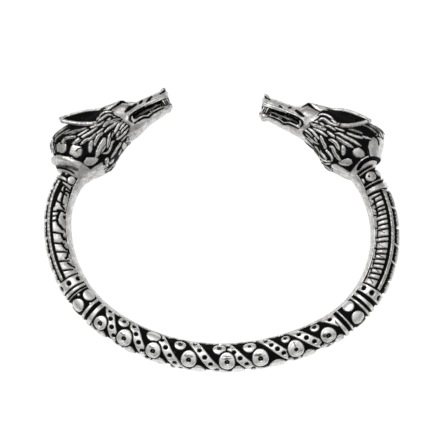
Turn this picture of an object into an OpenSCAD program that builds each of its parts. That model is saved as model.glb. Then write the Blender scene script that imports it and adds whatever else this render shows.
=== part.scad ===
// Arm ring, open at the top, with a wolf head at each end of a round bar.
// The hoop, its relief and both heads are one casting, so the part is one solid.
// The hoop is drawn flat in X and Y, outer face of the bar away from the middle of the ring.
// A place on the bar is given by its distance along the bar from the lowest point,
// plus to the right, and by its angle round the bar: 0 outward, 90 up, 180 to the wrist.

/* [Hoop] */
// Radius of the bar over its relief
bar_r = 2.8; // [2.7:0.05:3.0]
// Radius of the bar in the dark ground between the relief
ground_r = 2.4; // [2.2:0.05:2.5]
// Radius of the plain inner band that lies on the wrist
inner_r = 2.7; // [2.6:0.05:2.8]
// Half of the angle that the plain inner band takes
inner_half = 36; // [30:1:42]

/* [Relief of the hoop] */
// Slant of the strips, in millimetres along the bar for each degree round it
slant = 0.041; // [0.03:0.001:0.05]
// Half of the width of a strip
strip_half = 0.78; // [0.6:0.02:0.9]
// Radius of a pitted disc along the bar
disc_r = 1.5; // [1.3:0.05:1.6]
// Angle of the rows of discs
disc_angle = 65; // [60:1:70]
// Radius of a plain dome
dome_r = 1.2; // [1:0.05:1.3]
// Ribs of the right side panel
right_ribs = 15; // [10:5:20]
// Ribs of the left side panel
left_ribs = 10; // [8:2:12]

/* [Heads] */
// Slope of the left head above the level
left_slope = 27; // [25:1:29]
// Slope of the right head above the level
right_slope = 23; // [21:1:25]
// Half of the width of the mane
mane_half = 5.3; // [5:0.1:5.6]
// Height of the open mouth
mouth_h = 1.2; // [1:0.05:1.4]
// Height that a lock of the mane stands out
lock_h = 0.45; // [0.3:0.05:0.6]

/* [Hidden] */

// Bends of the bar from its lowest point: radius, length
right_bends = [[44.2, 22.1], [21.8, 31.4], [21.0, 9.0]];
left_bends = [[38.9, 23.1], [25.4, 24.6], [15.1, 12.0]];
start = [-0.5, -26.15];
start_heading = -0.8;

// Where the sockets of the two heads lie
left_head_at = [-26.0, 18.5];
right_head_at = [24.1, 17.2];

// Ends of the parts of the hoop, along the bar
right_end = 59.3;
left_end = -57.4;
panel_right = [34.1, 53.7];
panel_left = [-55.0, -34.8];

// Half of the bar's section, from the outer edge to the plain inner band, with the side panels' forms:
// angle, height of the form there over the ground, height of it between two ribs or plates
half_section = [
    [0, 0.60, 0.15],
    [34, 0.48, 0.10],
    [42, 0.00, 0.00],
    [57, 0.42, 0.42],
    [72, 0.00, 0.00],
    [82, 0.38, 0.02],
    [122, 0.34, 0.02]
];

// A plate of a panel ends after so many rows of the skin, two to a rib
right_plate_rows = 5;
left_plate_rows = 4;

// Corners of the bar's skin stand out by this in turn, so that no two of its faces lie in one plane
hair = 0.03;
// Rows of the plain skin under the strips
lower_rows = 12;
// Run of a ring's side along the bar, and of its edge
ring_side = 0.1;
ring_edge = 0.05;
// Depth of a foot in the ground
foot_depth = 0.4;

// Places of the bosses along the bar
discs = [-23.8, -18.4, -12.4, -5.45, 1.75, 8.05, 14.9, 21.5];
first_back_disc = -24.8;
disc_across = disc_r * 1.15;
disc_h = 0.45;
outer_domes = [-22.8, -16.8, -10.8, -3.4, 4.0, 10.6, 17.0];
outer_dome_angle = 12;
inner_domes = [-20.4, -13.7, -7.6, 0.3, 6.3, 13.6, 19.8];
inner_dome_angle = 120;
strips = [-28.5, -21.9, -16.0, -10.0, -2.75, 3.75, 11.55, 17.75];
band = [-25.0, 24.0];
end_domes = [-29.35, 27.9];
end_dome_angles = [-122, -52, 0, 52, 122];
neck_bosses_at = [-56.3, 56.9];
neck_boss_angle = 84;

// Rings round the bar: middle along the bar, half width, radius
rings = [
    [-57.0, 0.45, 2.95],
    [-55.6, 0.40, 2.85],
    [-33.65, 0.95, 2.9],
    [-31.6, 0.25, 2.7],
    [-27.5, 0.25, 2.7],
    [-25.9, 0.45, 2.8],
    [24.5, 0.40, 2.8],
    [25.8, 0.25, 2.7],
    [30.6, 0.25, 2.7],
    [32.95, 0.95, 2.9],
    [54.4, 0.50, 2.9],
    [58.4, 0.25, 2.9]
];

// Cross-sections of a head from the neck to the nose:
// x and y of the top, x and y of the underside, half width as a share of the mane's
head_sections = [
    [-8.7, -4.2, -7.5, -6.0, 0.20],
    [-9.6, -1.7, -5.2, -7.3, 0.67],
    [-9.4, 0.1, -4.0, -7.3, 0.78],
    [-9.0, 0.4, -3.6, -7.2, 0.74],
    [-8.9, 0.9, -3.1, -7.4, 0.82],
    [-8.2, 3.6, -1.8, -7.6, 0.92],
    [-6.8, 4.5, -0.3, -7.3, 0.98],
    [-4.5, 4.9, 1.4, -6.4, 1.00],
    [-1.5, 5.0, 3.2, -5.1, 0.97],
    [1.5, 5.1, 5.0, -4.3, 0.89],
    [4.0, 5.2, 6.5, -3.8, 0.80],
    [8.3, 5.3, 9.2, -3.2, 0.62],
    [9.4, 4.0, 10.0, -2.9, 0.55],
    [10.3, 3.2, 10.8, -2.6, 0.50],
    [12.5, 3.1, 12.5, -2.2, 0.46],
    [15.0, 3.05, 14.8, -1.95, 0.43],
    [16.7, 3.0, 16.3, -1.5, 0.37],
    [17.6, 2.4, 17.3, -0.7, 0.25]
];

// Locks of the mane, on each side of the head:
// x and y of the root, of the middle and of the tip, half width
locks = [
    [1.0, 2.5, -2.5, 2.9, -6.2, 3.0, 0.45],
    [1.9, 2.0, -1.5, 1.8, -4.2, 1.3, 0.45],
    [2.4, 1.2, 0.0, 0.8, -2.8, 0.5, 0.45],
    [6.6, 1.9, 4.5, 2.0, 2.4, 1.4, 0.40],
    [6.9, 1.1, 4.6, 0.9, 2.3, 0.5, 0.40],
    [3.8, 0.6, 1.4, 0.3, -0.7, -0.5, 0.40],
    [2.6, 0.2, 0.8, -1.2, -1.0, -3.0, 0.60],
    [7.7, 0.2, 6.0, -0.4, 4.2, -1.5, 0.40],
    [8.2, -1.4, 6.0, -1.9, 3.4, -3.2, 0.40],
    [7.4, -2.6, 4.6, -3.3, 1.4, -5.0, 0.45],
    [6.0, 3.5, 4.0, 4.1, 2.0, 3.3, 0.40]
];

// Round plates at the base of the mane: x, y, half width along the head, half width across
mane_plates = [
    [-6.9, 1.8, 1.0, 1.2],
    [-4.7, -0.3, 1.35, 1.3],
    [-2.9, -3.4, 1.4, 1.2]
];

// Ear from its root to its tip: x and y of the upper rim, x and y of the lower rim
ear_sections = [
    [4.2, 5.0, 2.0, 3.0],
    [1.8, 6.2, -0.2, 3.6],
    [-0.8, 6.9, -2.0, 4.6],
    [-2.9, 7.4, -3.5, 5.6],
    [-4.3, 7.7, -4.7, 6.8]
];
// Distances of the two rims from the head's middle plane, and the thickness between trough and back
ear_top_side = 2.1;
ear_low_side = 4.4;
ear_t = 0.8;

// Rest: the ring lies on both manes and on the underside of its lowest stretch.
// Depth of each foot under the ring's middle plane, and where it lies
bar_foot = 2.84;
bar_foot_y = start[1] + 0.5;
mane_foot = mane_half + lock_h * 0.6;
mane_foot_y = 15.5;
rest_tilt = atan((mane_foot - bar_foot) / (mane_foot_y - bar_foot_y));
lift = bar_foot * cos(rest_tilt) - bar_foot_y * sin(rest_tilt);
shift = [0.33, -0.29];

// Point on the axis of the bar at the distance s from the start: x, y, heading
function along(x, y, heading, bends, s, i = 0) =
    let (
        r = bends[i][0],
        last = i == len(bends) - 1,
        run = last ? s : min(s, bends[i][1]),
        next_heading = heading + run / r * 180 / PI,
        nx = x - r * sin(heading) + r * sin(next_heading),
        ny = y + r * cos(heading) - r * cos(next_heading)
    )
    last || s <= bends[i][1]
        ? [nx, ny, next_heading]
        : along(nx, ny, next_heading, bends, s - run, i + 1);

function mirrored(p) = [-p[0], p[1], -p[2]];

function hoop_at(s) = s >= 0
    ? along(start[0], start[1], start_heading, right_bends, s)
    : mirrored(along(-start[0], start[1], -start_heading, left_bends, -s));

// Point at the distance s along the bar, the angle a round it and the radius r
function on_bar(s, a, r) =
    let (p = hoop_at(s))
    [p[0] + r * cos(a) * sin(p[2]), p[1] - r * cos(a) * cos(p[2]), r * sin(a)];

// The same for a point that is x along the bar and y round it from the place s, a
function near_bar(s, a, r, x, y) = on_bar(s + x, a + y / bar_r * 180 / PI, r);

// Closed skin over rings of points that all have the same count.
// Its last end is a flat cap, or runs to a point where one is given.
module loft(ring_list, tip = []) {
    n = len(ring_list[0]);
    m = len(ring_list);
    last = (m - 1) * n;
    walls = [
        for (i = [0 : m - 2], j = [0 : n - 1])
            let (k = (j + 1) % n)
            each [
                [i * n + j, i * n + k, (i + 1) * n + k],
                [i * n + j, (i + 1) * n + k, (i + 1) * n + j]
            ]
    ];
    first_cap = [for (j = [1 : n - 2]) [0, j + 1, j]];
    last_cap = tip == []
        ? [for (j = [1 : n - 2]) [last, last + j, last + j + 1]]
        : [for (j = [0 : n - 1]) [m * n, last + j, last + (j + 1) % n]];
    points = [for (ring = ring_list) each ring];
    polyhedron(tip == [] ? points : concat(points, [tip]), concat(walls, first_cap, last_cap));
}

// Closed skin from a point over one ring to a second point
module kite(ends, ring) {
    n = len(ring);
    fans = [
        for (j = [0 : n - 1])
            let (k = (j + 1) % n)
            each [[n, k, j], [n + 1, j, k]]
    ];
    polyhedron(concat(ring, ends), fans);
}

// The same points on the far side of the head's middle plane
function facing(points, up) = up > 0
    ? points
    : [for (i = [0 : len(points) - 1])
        let (p = points[(len(points) - i) % len(points)])
        [p[0], p[1], -p[2]]];

// Rows of the bar's skin, each a place along the bar and the radii over half of the section
function round_row(s, r) = [s, [for (h = half_section) r]];

// A wide ring has a flat top, a thin one a sharp one
function ring_rows(ring) =
    let (
        from = ring[0] - ring[1],
        to = ring[0] + ring[1],
        top = ring[1] > 0.6 ? [from + ring_edge, to - ring_edge] : [ring[0]]
    )
    concat(
        [round_row(from - ring_side, ground_r)],
        [for (s = top) round_row(s, ring[2])],
        [round_row(to + ring_side, ground_r)]
    );

function even_rows(from, to, count) =
    [for (i = [0 : count]) round_row(from + (to - from) * i / count, ground_r)];

// A row for the top of each rib and one for each groove between them,
// with a gap between two plates at every plate_rows-th row
function panel_rows(from, to, rib_count, plate_rows) =
    [for (i = [0 : 2 * rib_count])
        [
            from + (to - from) * i / (2 * rib_count),
            [
                for (h = half_section)
                    let (low = h[0] < 35 ? i % plate_rows == 0 : i % 2 == 0)
                    ground_r + (low ? h[2] : h[1])
            ]
        ]];

// Ring of points round the bar for the row of this number, closed by the plain inner band
function bar_ring(row, number) =
    let (
        n = len(half_section),
        angles = [
            for (h = half_section) h[0],
            for (a = [-inner_half, 0, inner_half]) 180 + a,
            for (i = [n - 1 : -1 : 1]) -half_section[i][0]
        ],
        radii = [each row[1], inner_r, inner_r, inner_r, for (i = [n - 1 : -1 : 1]) row[1][i]]
    )
    [for (i = [0 : len(angles) - 1]) on_bar(row[0], angles[i], radii[i] + hair * ((i + number) % 2))];

module bar() {
    left_rings = [for (ring = rings) if (ring[0] < panel_left[0]) each ring_rows(ring)];
    left_zone = [for (ring = rings) if (ring[0] > panel_left[1] && ring[0] < 0) each ring_rows(ring)];
    right_zone = [for (ring = rings) if (ring[0] < panel_right[0] && ring[0] > 0) each ring_rows(ring)];
    right_rings = [for (ring = rings) if (ring[0] > panel_right[1]) each ring_rows(ring)];
    rows = concat(
        [round_row(left_end - 1.6, ground_r)],
        left_rings,
        panel_rows(panel_left[0], panel_left[1], left_ribs, left_plate_rows),
        left_zone,
        even_rows(band[0] + disc_r, band[1] - disc_r, lower_rows),
        right_zone,
        panel_rows(panel_right[0], panel_right[1], right_ribs, right_plate_rows),
        right_rings,
        [round_row(right_end + 1.6, ground_r)]
    );
    loft([for (i = [0 : len(rows) - 1]) bar_ring(rows[i], i)]);
}

// Raised strip that runs round the bar on a slant. It ends in the inner band, or at an end of the lower band.
// Its foot is turned half a step against its top.
module strip(s) {
    overlap = 5;
    reach = 180 - inner_half + overlap;
    from = min(reach, 90 - (band[0] - s) / slant);
    to = max(-reach, 90 - (band[1] - s) / slant);
    longest_step = 43;
    steps = ceil((from - to) / longest_step);
    step = (to - from) / steps;
    loft([
        for (i = [0 : steps])
            let (
                a = from + i * step,
                at = s + (90 - a) * slant,
                top = abs(a) == reach ? inner_r - 0.2 : bar_r,
                foot_a = i == 0 ? a : a - step / 2,
                foot_at = s + (90 - foot_a) * slant
            )
            [
                on_bar(foot_at - strip_half - ring_side, foot_a, ground_r - foot_depth),
                on_bar(at - strip_half, a, top),
                on_bar(at + strip_half, a, top),
                on_bar(foot_at + strip_half + ring_side, foot_a, ground_r - foot_depth)
            ]
    ]);
}

// Round boss on the bar, with a pit in its middle where pit is over 0.
// Its foot is turned half a step against its top.
module boss(s, a, half_s, half_a, h = 0.35, pit = 0, sides = 7) {
    function level(k, r, turn = 0) =
        [for (i = [0 : sides - 1])
            let (t = (i + turn) * 360 / sides)
            near_bar(s, a, r, k * half_s * cos(t), -k * half_a * sin(t))];
    top = ground_r + h;
    foot = level(1.05, ground_r - foot_depth, -0.5);
    if (pit > 0)
        loft([foot, level(0.95, top), level(pit, top + 0.08, 0.5)], on_bar(s, a, top - 0.3));
    else
        loft([foot, level(0.85, top - 0.1)], on_bar(s, a, top + 0.15));
}

module lower_band() {
    back_shift = 2 * disc_angle * slant;
    moved_discs = [for (s = discs) if (s + back_shift < band[1] - disc_r) s + back_shift];
    for (s = strips) strip(s);
    for (s = discs) boss(s, disc_angle, disc_r, disc_across, disc_h, 0.35);
    for (s = concat([first_back_disc], moved_discs)) boss(s, -disc_angle, disc_r, disc_across, disc_h);
    for (s = outer_domes) boss(s, outer_dome_angle, dome_r, dome_r * 0.8, 0.5, sides = 6);
    for (s = inner_domes) boss(s, inner_dome_angle, dome_r * 0.9, dome_r * 0.75, 0.35, sides = 6);
    for (s = end_domes, a = end_dome_angles) boss(s, a, dome_r, dome_r, 0.45, sides = 6);
}

// Bosses between the two rings of each neck
module neck_bosses() {
    for (s = neck_bosses_at, a = [-neck_boss_angle, neck_boss_angle]) boss(s, a, 0.75, 0.95, 0.5, sides = 6);
}

module hoop() {
    bar();
    lower_band();
    neck_bosses();
}

// Which side of a section's line the place x, y lies on, over 0 towards the neck
function behind(row, x, y) = (row[2] - row[0]) * (y - row[1]) - (row[3] - row[1]) * (x - row[0]);

// How far the side of a head stands from its middle plane at x, y
function head_side(x, y, i = 0) =
    i < len(head_sections) - 2 && behind(head_sections[i + 1], x, y) > 0
        ? head_side(x, y, i + 1)
        : let (
            b0 = behind(head_sections[i], x, y),
            b1 = behind(head_sections[i + 1], x, y),
            t = max(0, min(1, b0 / (b0 - b1))),
            row = (1 - t) * head_sections[i] + t * head_sections[i + 1],
            dx = (row[0] - row[2]) / 2,
            dy = (row[1] - row[3]) / 2,
            k = ((x - (row[0] + row[2]) / 2) * dx + (y - (row[1] + row[3]) / 2) * dy) / (dx * dx + dy * dy),
            inside = max(0.05, 1 - k * k)
        )
        row[4] * mane_half * pow(inside, 0.4);

module skull() {
    sides = 10;
    loft([
        for (row = head_sections)
            let (
                half = row[4] * mane_half,
                cx = (row[0] + row[2]) / 2,
                cy = (row[1] + row[3]) / 2,
                dx = (row[0] - row[2]) / 2,
                dy = (row[1] - row[3]) / 2
            )
            [for (i = [0 : sides - 1])
                let (a = i * 360 / sides, flank = sign(sin(a)) * pow(abs(sin(a)), 0.8))
                [cx + dx * cos(a), cy + dy * cos(a), -half * flank]]
    ]);
}

// Space of the open mouth on both sides of the tongue and clear through at the front
module mouth() {
    tongue_half = 0.8;
    for (up = [0, 1]) mirror([0, 0, up]) translate([0, 0, tongue_half]) linear_extrude(4)
        polygon([[8.9, 0.5], [9.6, mouth_h], [19, mouth_h + 0.1], [19, -0.1], [9.4, -0.1]]);
    translate([15.8, 0.25, -3]) cube([3, mouth_h - 0.4, 6]);
}

module fangs() {
    for (x = [16.0, 16.9], up = [-1, 1]) hull() {
        translate([x, mouth_h + 0.35, up * 1.25]) cube([0.6, 0.3, 0.7], center = true);
        translate([x + 0.05, -0.15, up * 1.2]) cube([0.15, 0.2, 0.2], center = true);
    }
}

module nose() {
    hull() for (up = [-1, 1]) {
        translate([17.3, 3.0, up * 0.55]) sphere(0.6, $fn = 6);
        translate([16.0, 2.6, up * 0.7]) cube([0.6, 0.8, 0.6], center = true);
    }
}

// Ridge of the brow over the round of the eye
module brow_and_eye(up) {
    brow_ring = [[7.6, 4.2, 2.9], [7.6, 5.6, 2.3], [7.6, 5.4, 1.0], [7.6, 4.0, 1.4]];
    eye_ring = [[7.6, 4.2, 2.7], [9.5, 3.2, 2.4], [7.6, 2.0, 3.0], [6.2, 3.1, 3.4]];
    kite([[4.6, 4.6, up * 2.6], [9.2, 4.5, up * 1.6]], facing(brow_ring, up));
    kite([[7.7, 3.1, up * 1.2], [7.7, 3.1, up * 3.9]], facing(eye_ring, up));
}

// Laid-back ear, an open trough that faces sideways.
// Its ring of points starts at the middle of its back, from where all the others can be seen.
module ear(up) {
    mid_side = (ear_top_side + ear_low_side) / 2;
    loft([
        for (row = ear_sections)
            let (mid = [(row[0] + row[2]) / 2, (row[1] + row[3]) / 2])
            facing(
                [
                    [mid[0], mid[1], mid_side - 2 * ear_t],
                    [row[0] - 0.1, row[1] - 0.15, ear_top_side - ear_t],
                    [row[0], row[1], ear_top_side],
                    [mid[0], mid[1], mid_side - ear_t],
                    [row[2], row[3], ear_low_side],
                    [row[2] + 0.1, row[3] + 0.15, ear_low_side - ear_t]
                ],
                up
            )
    ]);
}

// Point on a lock at the share t of its length, off its middle line by the share k of its half width
function lock_point(row, t, k, h, up) =
    let (
        x = (1 - t) * (1 - t) * row[0] + 2 * t * (1 - t) * row[2] + t * t * row[4],
        y = (1 - t) * (1 - t) * row[1] + 2 * t * (1 - t) * row[3] + t * t * row[5],
        dx = row[4] - row[0],
        dy = row[5] - row[1],
        size = sqrt(dx * dx + dy * dy),
        px = x - k * row[6] * dy / size,
        py = y + k * row[6] * dx / size
    )
    [px, py, up * (head_side(px, py) + h)];

// Lock of hair, a kite that is widest towards its tip and bent along its ridge
module lock(row, up) {
    wide_at = 0.6;
    ring = [
        lock_point(row, wide_at, 1, -0.3, up),
        lock_point(row, wide_at, 0, -0.8, up),
        lock_point(row, wide_at, -1, -0.3, up),
        lock_point(row, wide_at, 0, lock_h, up)
    ];
    root_point = lock_point(row, 0, 0, -0.1, up);
    tip_point = lock_point(row, 1, 0, 0.1, up);
    kite([root_point, tip_point], up > 0 ? ring : [ring[3], ring[2], ring[1], ring[0]]);
}

module mane_plate(row, up) {
    sides = 6;
    side = head_side(row[0], row[1]);
    function level(k, h) =
        [for (i = [0 : sides - 1])
            let (a = -up * i * 360 / sides)
            [row[0] + k * row[2] * cos(a), row[1] + k * row[3] * sin(a), up * (side + h)]];
    loft([level(1, -0.8), level(0.85, 0.3)], [row[0], row[1], up * (side + 0.5)]);
}

module wolf_head() {
    difference() {
        skull();
        mouth();
    }
    fangs();
    nose();
    for (up = [-1, 1]) {
        brow_and_eye(up);
        ear(up);
        for (row = locks) lock(row, up);
        for (row = mane_plates) mane_plate(row, up);
    }
}

module arm_ring() {
    color("silver")
    translate([shift[0], shift[1], lift])
    rotate([rest_tilt, 0, 0])
    union() {
        hoop();
        translate(left_head_at) rotate(left_slope) wolf_head();
        translate(right_head_at) mirror([1, 0, 0]) rotate(right_slope) wolf_head();
    }
}

arm_ring();
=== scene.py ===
import math

import bpy
import numpy as np
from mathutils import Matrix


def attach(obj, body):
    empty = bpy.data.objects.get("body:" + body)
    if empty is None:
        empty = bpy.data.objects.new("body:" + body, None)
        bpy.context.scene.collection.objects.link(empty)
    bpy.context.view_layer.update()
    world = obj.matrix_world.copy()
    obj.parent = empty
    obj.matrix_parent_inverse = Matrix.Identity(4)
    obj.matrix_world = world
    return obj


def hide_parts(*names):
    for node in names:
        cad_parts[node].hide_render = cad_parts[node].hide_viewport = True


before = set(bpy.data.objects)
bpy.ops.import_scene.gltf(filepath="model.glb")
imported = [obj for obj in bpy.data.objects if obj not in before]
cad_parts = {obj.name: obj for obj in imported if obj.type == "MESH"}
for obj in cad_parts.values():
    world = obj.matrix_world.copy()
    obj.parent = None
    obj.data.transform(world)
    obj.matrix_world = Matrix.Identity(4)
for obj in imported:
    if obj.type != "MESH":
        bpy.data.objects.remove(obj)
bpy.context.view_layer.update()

import openvdb as vdb
from mathutils import Matrix, Vector

# Cast silver arm ring, open at the top, with a wolf head at each end.
# Sizes are in millimetres in the ring's own plane, as in the part's source, and MM turns them into metres.
# A place on the bar is given by its distance along the bar from the lowest point, plus to the right,
# and by its angle round the bar in degrees: 0 outward, 90 up, 180 to the wrist.
MM = 0.001

# Radius at which an angle round the bar is turned into a length, and radius of the ground under the relief
BAR_R = 2.8
GROUND_R = 2.4
# The bar's axis: its lowest point, its heading there in degrees, its bends to each side (radius, length),
# its ends, and the step at which it is drawn
START = (-0.5, -26.15)
START_HEADING = -0.8
RIGHT_BENDS = ((44.2, 22.1), (21.8, 31.4), (21.0, 9.0))
LEFT_BENDS = ((38.9, 23.1), (25.4, 24.6), (15.1, 12.0))
BAR_FROM, BAR_TO = -61.0, 63.0
PATH_STEP = 0.25

# Where the sockets of the two heads lie, and their slopes
LEFT_HEAD_AT, LEFT_SLOPE = (-26.0, 18.5), 27.0
RIGHT_HEAD_AT, RIGHT_SLOPE = (24.1, 17.2), 23.0

# How the ring lies: tilted about its own X axis until both manes and the lowest stretch touch the floor.
# Each of these has its depth under the ring's plane and its y, and SHIFT brings the ring to the middle.
BAR_FOOT, BAR_FOOT_Y = 2.84, START[1] + 0.5
MANE_FOOT, MANE_FOOT_Y = 5.57, 15.5
REST_TILT = math.atan((MANE_FOOT - BAR_FOOT) / (MANE_FOOT_Y - BAR_FOOT_Y))
LIFT = BAR_FOOT * math.cos(REST_TILT) - BAR_FOOT_Y * math.sin(REST_TILT)
SHIFT = (0.33, -0.29)
REST = Matrix.Translation((SHIFT[0] * MM, SHIFT[1] * MM, LIFT * MM)) @ Matrix.Rotation(REST_TILT, 4, "X")

# The photograph: distance of the eye, its angle off the ring's axis, and the point of the plane at its middle
EYE_DISTANCE = 190.0
EYE_PITCH, EYE_YAW = 13.0, 3.0
IMAGE_SIDE = 440
MM_PER_PIXEL = 0.2
PLANE_ORIGIN_PIXEL = (221.0, 226.0)


def camera():
    """Camera at the photograph's angle and distance, aimed by its shift"""
    pitch, yaw = math.radians(EYE_PITCH), math.radians(EYE_YAW)
    back = Vector((math.sin(yaw), -math.sin(pitch) * math.cos(yaw), math.cos(pitch) * math.cos(yaw)))
    right = Vector((0, 1, 0)).cross(back).normalized()
    up = back.cross(right)
    turn = Matrix((right, up, back)).transposed().to_4x4()
    data = bpy.data.cameras.new("camera")
    data.sensor_width = 36.0
    data.lens = data.sensor_width * EYE_DISTANCE / (IMAGE_SIDE * MM_PER_PIXEL)
    data.clip_start = 0.001
    data.shift_x = (IMAGE_SIDE / 2 - PLANE_ORIGIN_PIXEL[0]) / IMAGE_SIDE
    data.shift_y = (PLANE_ORIGIN_PIXEL[1] - IMAGE_SIDE / 2) / IMAGE_SIDE
    eye = bpy.data.objects.new("camera", data)
    eye.matrix_world = REST @ Matrix.Translation(back * EYE_DISTANCE * MM) @ turn
    bpy.context.scene.collection.objects.link(eye)
    bpy.context.scene.camera = eye


camera()


# The bar's path

def along(x, y, heading, bends, s):
    """Point and heading at the distance s through the bends, starting at x, y"""
    for i, (r, length) in enumerate(bends):
        run = s if i == len(bends) - 1 else min(s, length)
        turned = heading + run / r
        x += r * (math.sin(turned) - math.sin(heading))
        y -= r * (math.cos(turned) - math.cos(heading))
        heading = turned
        s -= run
        if s <= 0:
            break
    return x, y, heading


def hoop_at(s):
    """Point on the bar's axis and its heading, for a distance to either side of the lowest point"""
    heading = math.radians(START_HEADING)
    if s >= 0:
        return along(START[0], START[1], heading, RIGHT_BENDS, s)
    x, y, turned = along(-START[0], START[1], -heading, LEFT_BENDS, -s)
    return -x, y, -turned


def bar_path():
    """Curve object along the bar's axis, which the hoop's relief is wrapped round"""
    places = np.arange(BAR_FROM, BAR_TO + PATH_STEP / 2, PATH_STEP)
    data = bpy.data.curves.new("bar_path", "CURVE")
    data.dimensions = "3D"
    spline = data.splines.new("POLY")
    spline.points.add(len(places) - 1)
    for point, s in zip(spline.points, places):
        x, y, _ = hoop_at(s)
        point.co = (x * MM, y * MM, 0.0, 1.0)
    path = bpy.data.objects.new("bar_path", data)
    bpy.context.scene.collection.objects.link(path)
    return path


# Relief of the hoop: heights over the ground in millimetres, on a grid of places and angles

MM_PER_DEGREE = math.radians(1.0) * BAR_R
# How far a slanting strip shifts along the bar for each degree down from the top
SLANT = 0.041
# Kinds of boss: height over the ground, crown, width of the dark ground round it
DISC, INNER_BOSS = (0.45, 0.12, 0.20), (0.36, 0.16, 0.16)
OUTER_DOME, NIB = (0.40, 0.20, 0.22), (0.75, 0.30, 0.10)
END_BOSS, NECK_BOSS = (0.40, 0.14, 0.10), (0.40, 0.14, 0.12)
PIT_DEPTH = 0.40


def smooth(x):
    """Smooth step from 0 at 0 to 1 at 1"""
    x = np.clip(x, 0.0, 1.0)
    return x * x * (3.0 - 2.0 * x)


def raised(h, inside, height, edge=0.22):
    """Height h with a form on it, whose flank starts a little outside its outline"""
    return np.maximum(h, height * smooth(inside / edge + 0.3))


def cleared(h, inside, edge=0.16):
    """Height h brought down to the ground inside an outline"""
    return h * (1.0 - smooth(inside / edge + 0.5))


def ellipse(s, a, s0, a0, half_s, half_a):
    """Distance inside an ellipse on the bar, and the share of its radius that a point lies out"""
    x = s - s0
    y = ((a - a0 + 180.0) % 360.0 - 180.0) * MM_PER_DEGREE
    share = np.sqrt((x / half_s) ** 2 + (y / half_a) ** 2)
    return (1.0 - share) * min(half_s, half_a), share


def boss(h, s, a, s0, a0, half_s, half_a, kind):
    """Round boss with dark ground all round it"""
    height, crown, moat = kind
    inside, share = ellipse(s, a, s0, a0, half_s, half_a)
    h = cleared(h, inside + moat)
    return raised(h, inside, height + crown * (1.0 - np.minimum(share, 1.0) ** 2) - 0.5 * crown)


def pit(h, s, a, s0, a0, r, depth=PIT_DEPTH, core=0.0):
    """Round pit, with a low core in its middle where core is over 0"""
    inside, share = ellipse(s, a, s0, a0, r, r)
    return h - depth * smooth(inside / 0.16 + 0.6) + core * smooth((0.4 - share) / 0.3)


def ring(h, s, a, middle, half, height, lean):
    """Ring round the bar, whose outer side leans along the bar"""
    centre = middle + lean * np.cos(np.radians(a))
    return raised(h, half - np.abs(s - centre), height)


# Discs of the front row at DISC_ANGLE: place along the bar, half length, half width, radius of the pit
DISC_ANGLE = 65.0
DISCS = (
    (-23.8, 1.32, 1.65, 0.46),
    (-18.4, 1.55, 1.95, 0.46),
    (-12.4, 1.50, 1.80, 0.48),
    (-5.45, 1.52, 1.95, 0.46),
    (1.75, 1.55, 1.98, 0.46),
    (8.05, 1.60, 2.02, 0.46),
    (14.9, 1.60, 1.95, 0.38),
    (21.5, 1.55, 1.72, 0.46),
)
# Degrees that a disc's middle lies nearer to the inner band than its pit, and height of the core in the pit
DISC_LEAN, DISC_CORE = 2.5, 0.12
# Shallow ring round a disc: share of the disc's radius, half width as such a share, depth
DISC_RING = (0.62, 0.14, 0.05)
# Slanting strips: place at the top of the bar, angle of one pit, degrees from pit to pit
STRIPS = (
    (-28.3, 80.0, 27.0),
    (-21.9, 80.8, 27.0),
    (-16.0, 77.6, 27.4),
    (-10.0, 68.0, 27.6),
    (-2.75, 82.8, 27.8),
    (3.75, 77.6, 27.0),
    (11.55, 90.0, 23.3),
    (17.75, 69.0, 27.0),
    (24.6, 69.0, 27.0),
)
STRIP_HALF = 1.2
STRIP_HEIGHT, STRIP_CROWN = 0.40, 0.04
# Width square to a strip's slant as a share of its width along the bar
STRIP_SQUARE = 0.77
# Radius of a strip's pits, and how many degrees under the outer edge the last of them may lie
STRIP_PIT_R, STRIP_PITS_TO = 0.43, 150.0
# Bosses next to the inner band: place, angle, radius, radius of the pit
INNER_BOSSES = (
    (-20.05, 127.0, 1.25, 0.45),
    (-13.3, 131.0, 1.55, 0.0),
    (-7.6, 122.0, 1.25, 0.5),
    (0.3, 122.0, 1.4, 0.5),
    (6.3, 122.0, 1.4, 0.4),
    (13.6, 122.0, 1.0, 0.4),
    (19.8, 122.0, 1.05, 0.48),
)
# Degrees that the pit of such a boss lies off its middle, and the pit's depth
INNER_PIT_OFF, INNER_PIT_DEPTH = 4.0, 0.26
# Each disc and each boss next to the inner band has a twin on the underside. The slant carries the twin along
# the bar, and one period of the pattern sets it back.
DISC_PERIOD, INNER_PERIOD = 6.4, 6.5
# Domes on the outer edge: place, half length
OUTER_DOMES = (
    (-22.9, 1.2),
    (-16.8, 1.3),
    (-10.9, 1.4),
    (-3.6, 1.35),
    (3.7, 1.2),
    (11.0, 1.7),
    (17.0, 1.4),
    (23.2, 1.1),
)
OUTER_DOME_ANGLE, OUTER_DOME_HALF = 8.0, 1.8
# Small nib between two of the domes: place, angle, half length, half width
NIB_FORM = (-8.3, 2.0, 0.5, 0.5)
# Where the band's relief starts and ends
LOWER_BAND = (-25.2, 24.0)


def slanted(middle, angle):
    """Place of a strip's middle line at an angle. middle is its place at the top of the bar."""
    return middle + (90.0 - angle) * SLANT


def twins(s0, angle, period):
    """Angle and place of a form and of its twin on the underside"""
    return (angle, s0), (-angle, s0 + 2 * angle * SLANT - period)


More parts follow.
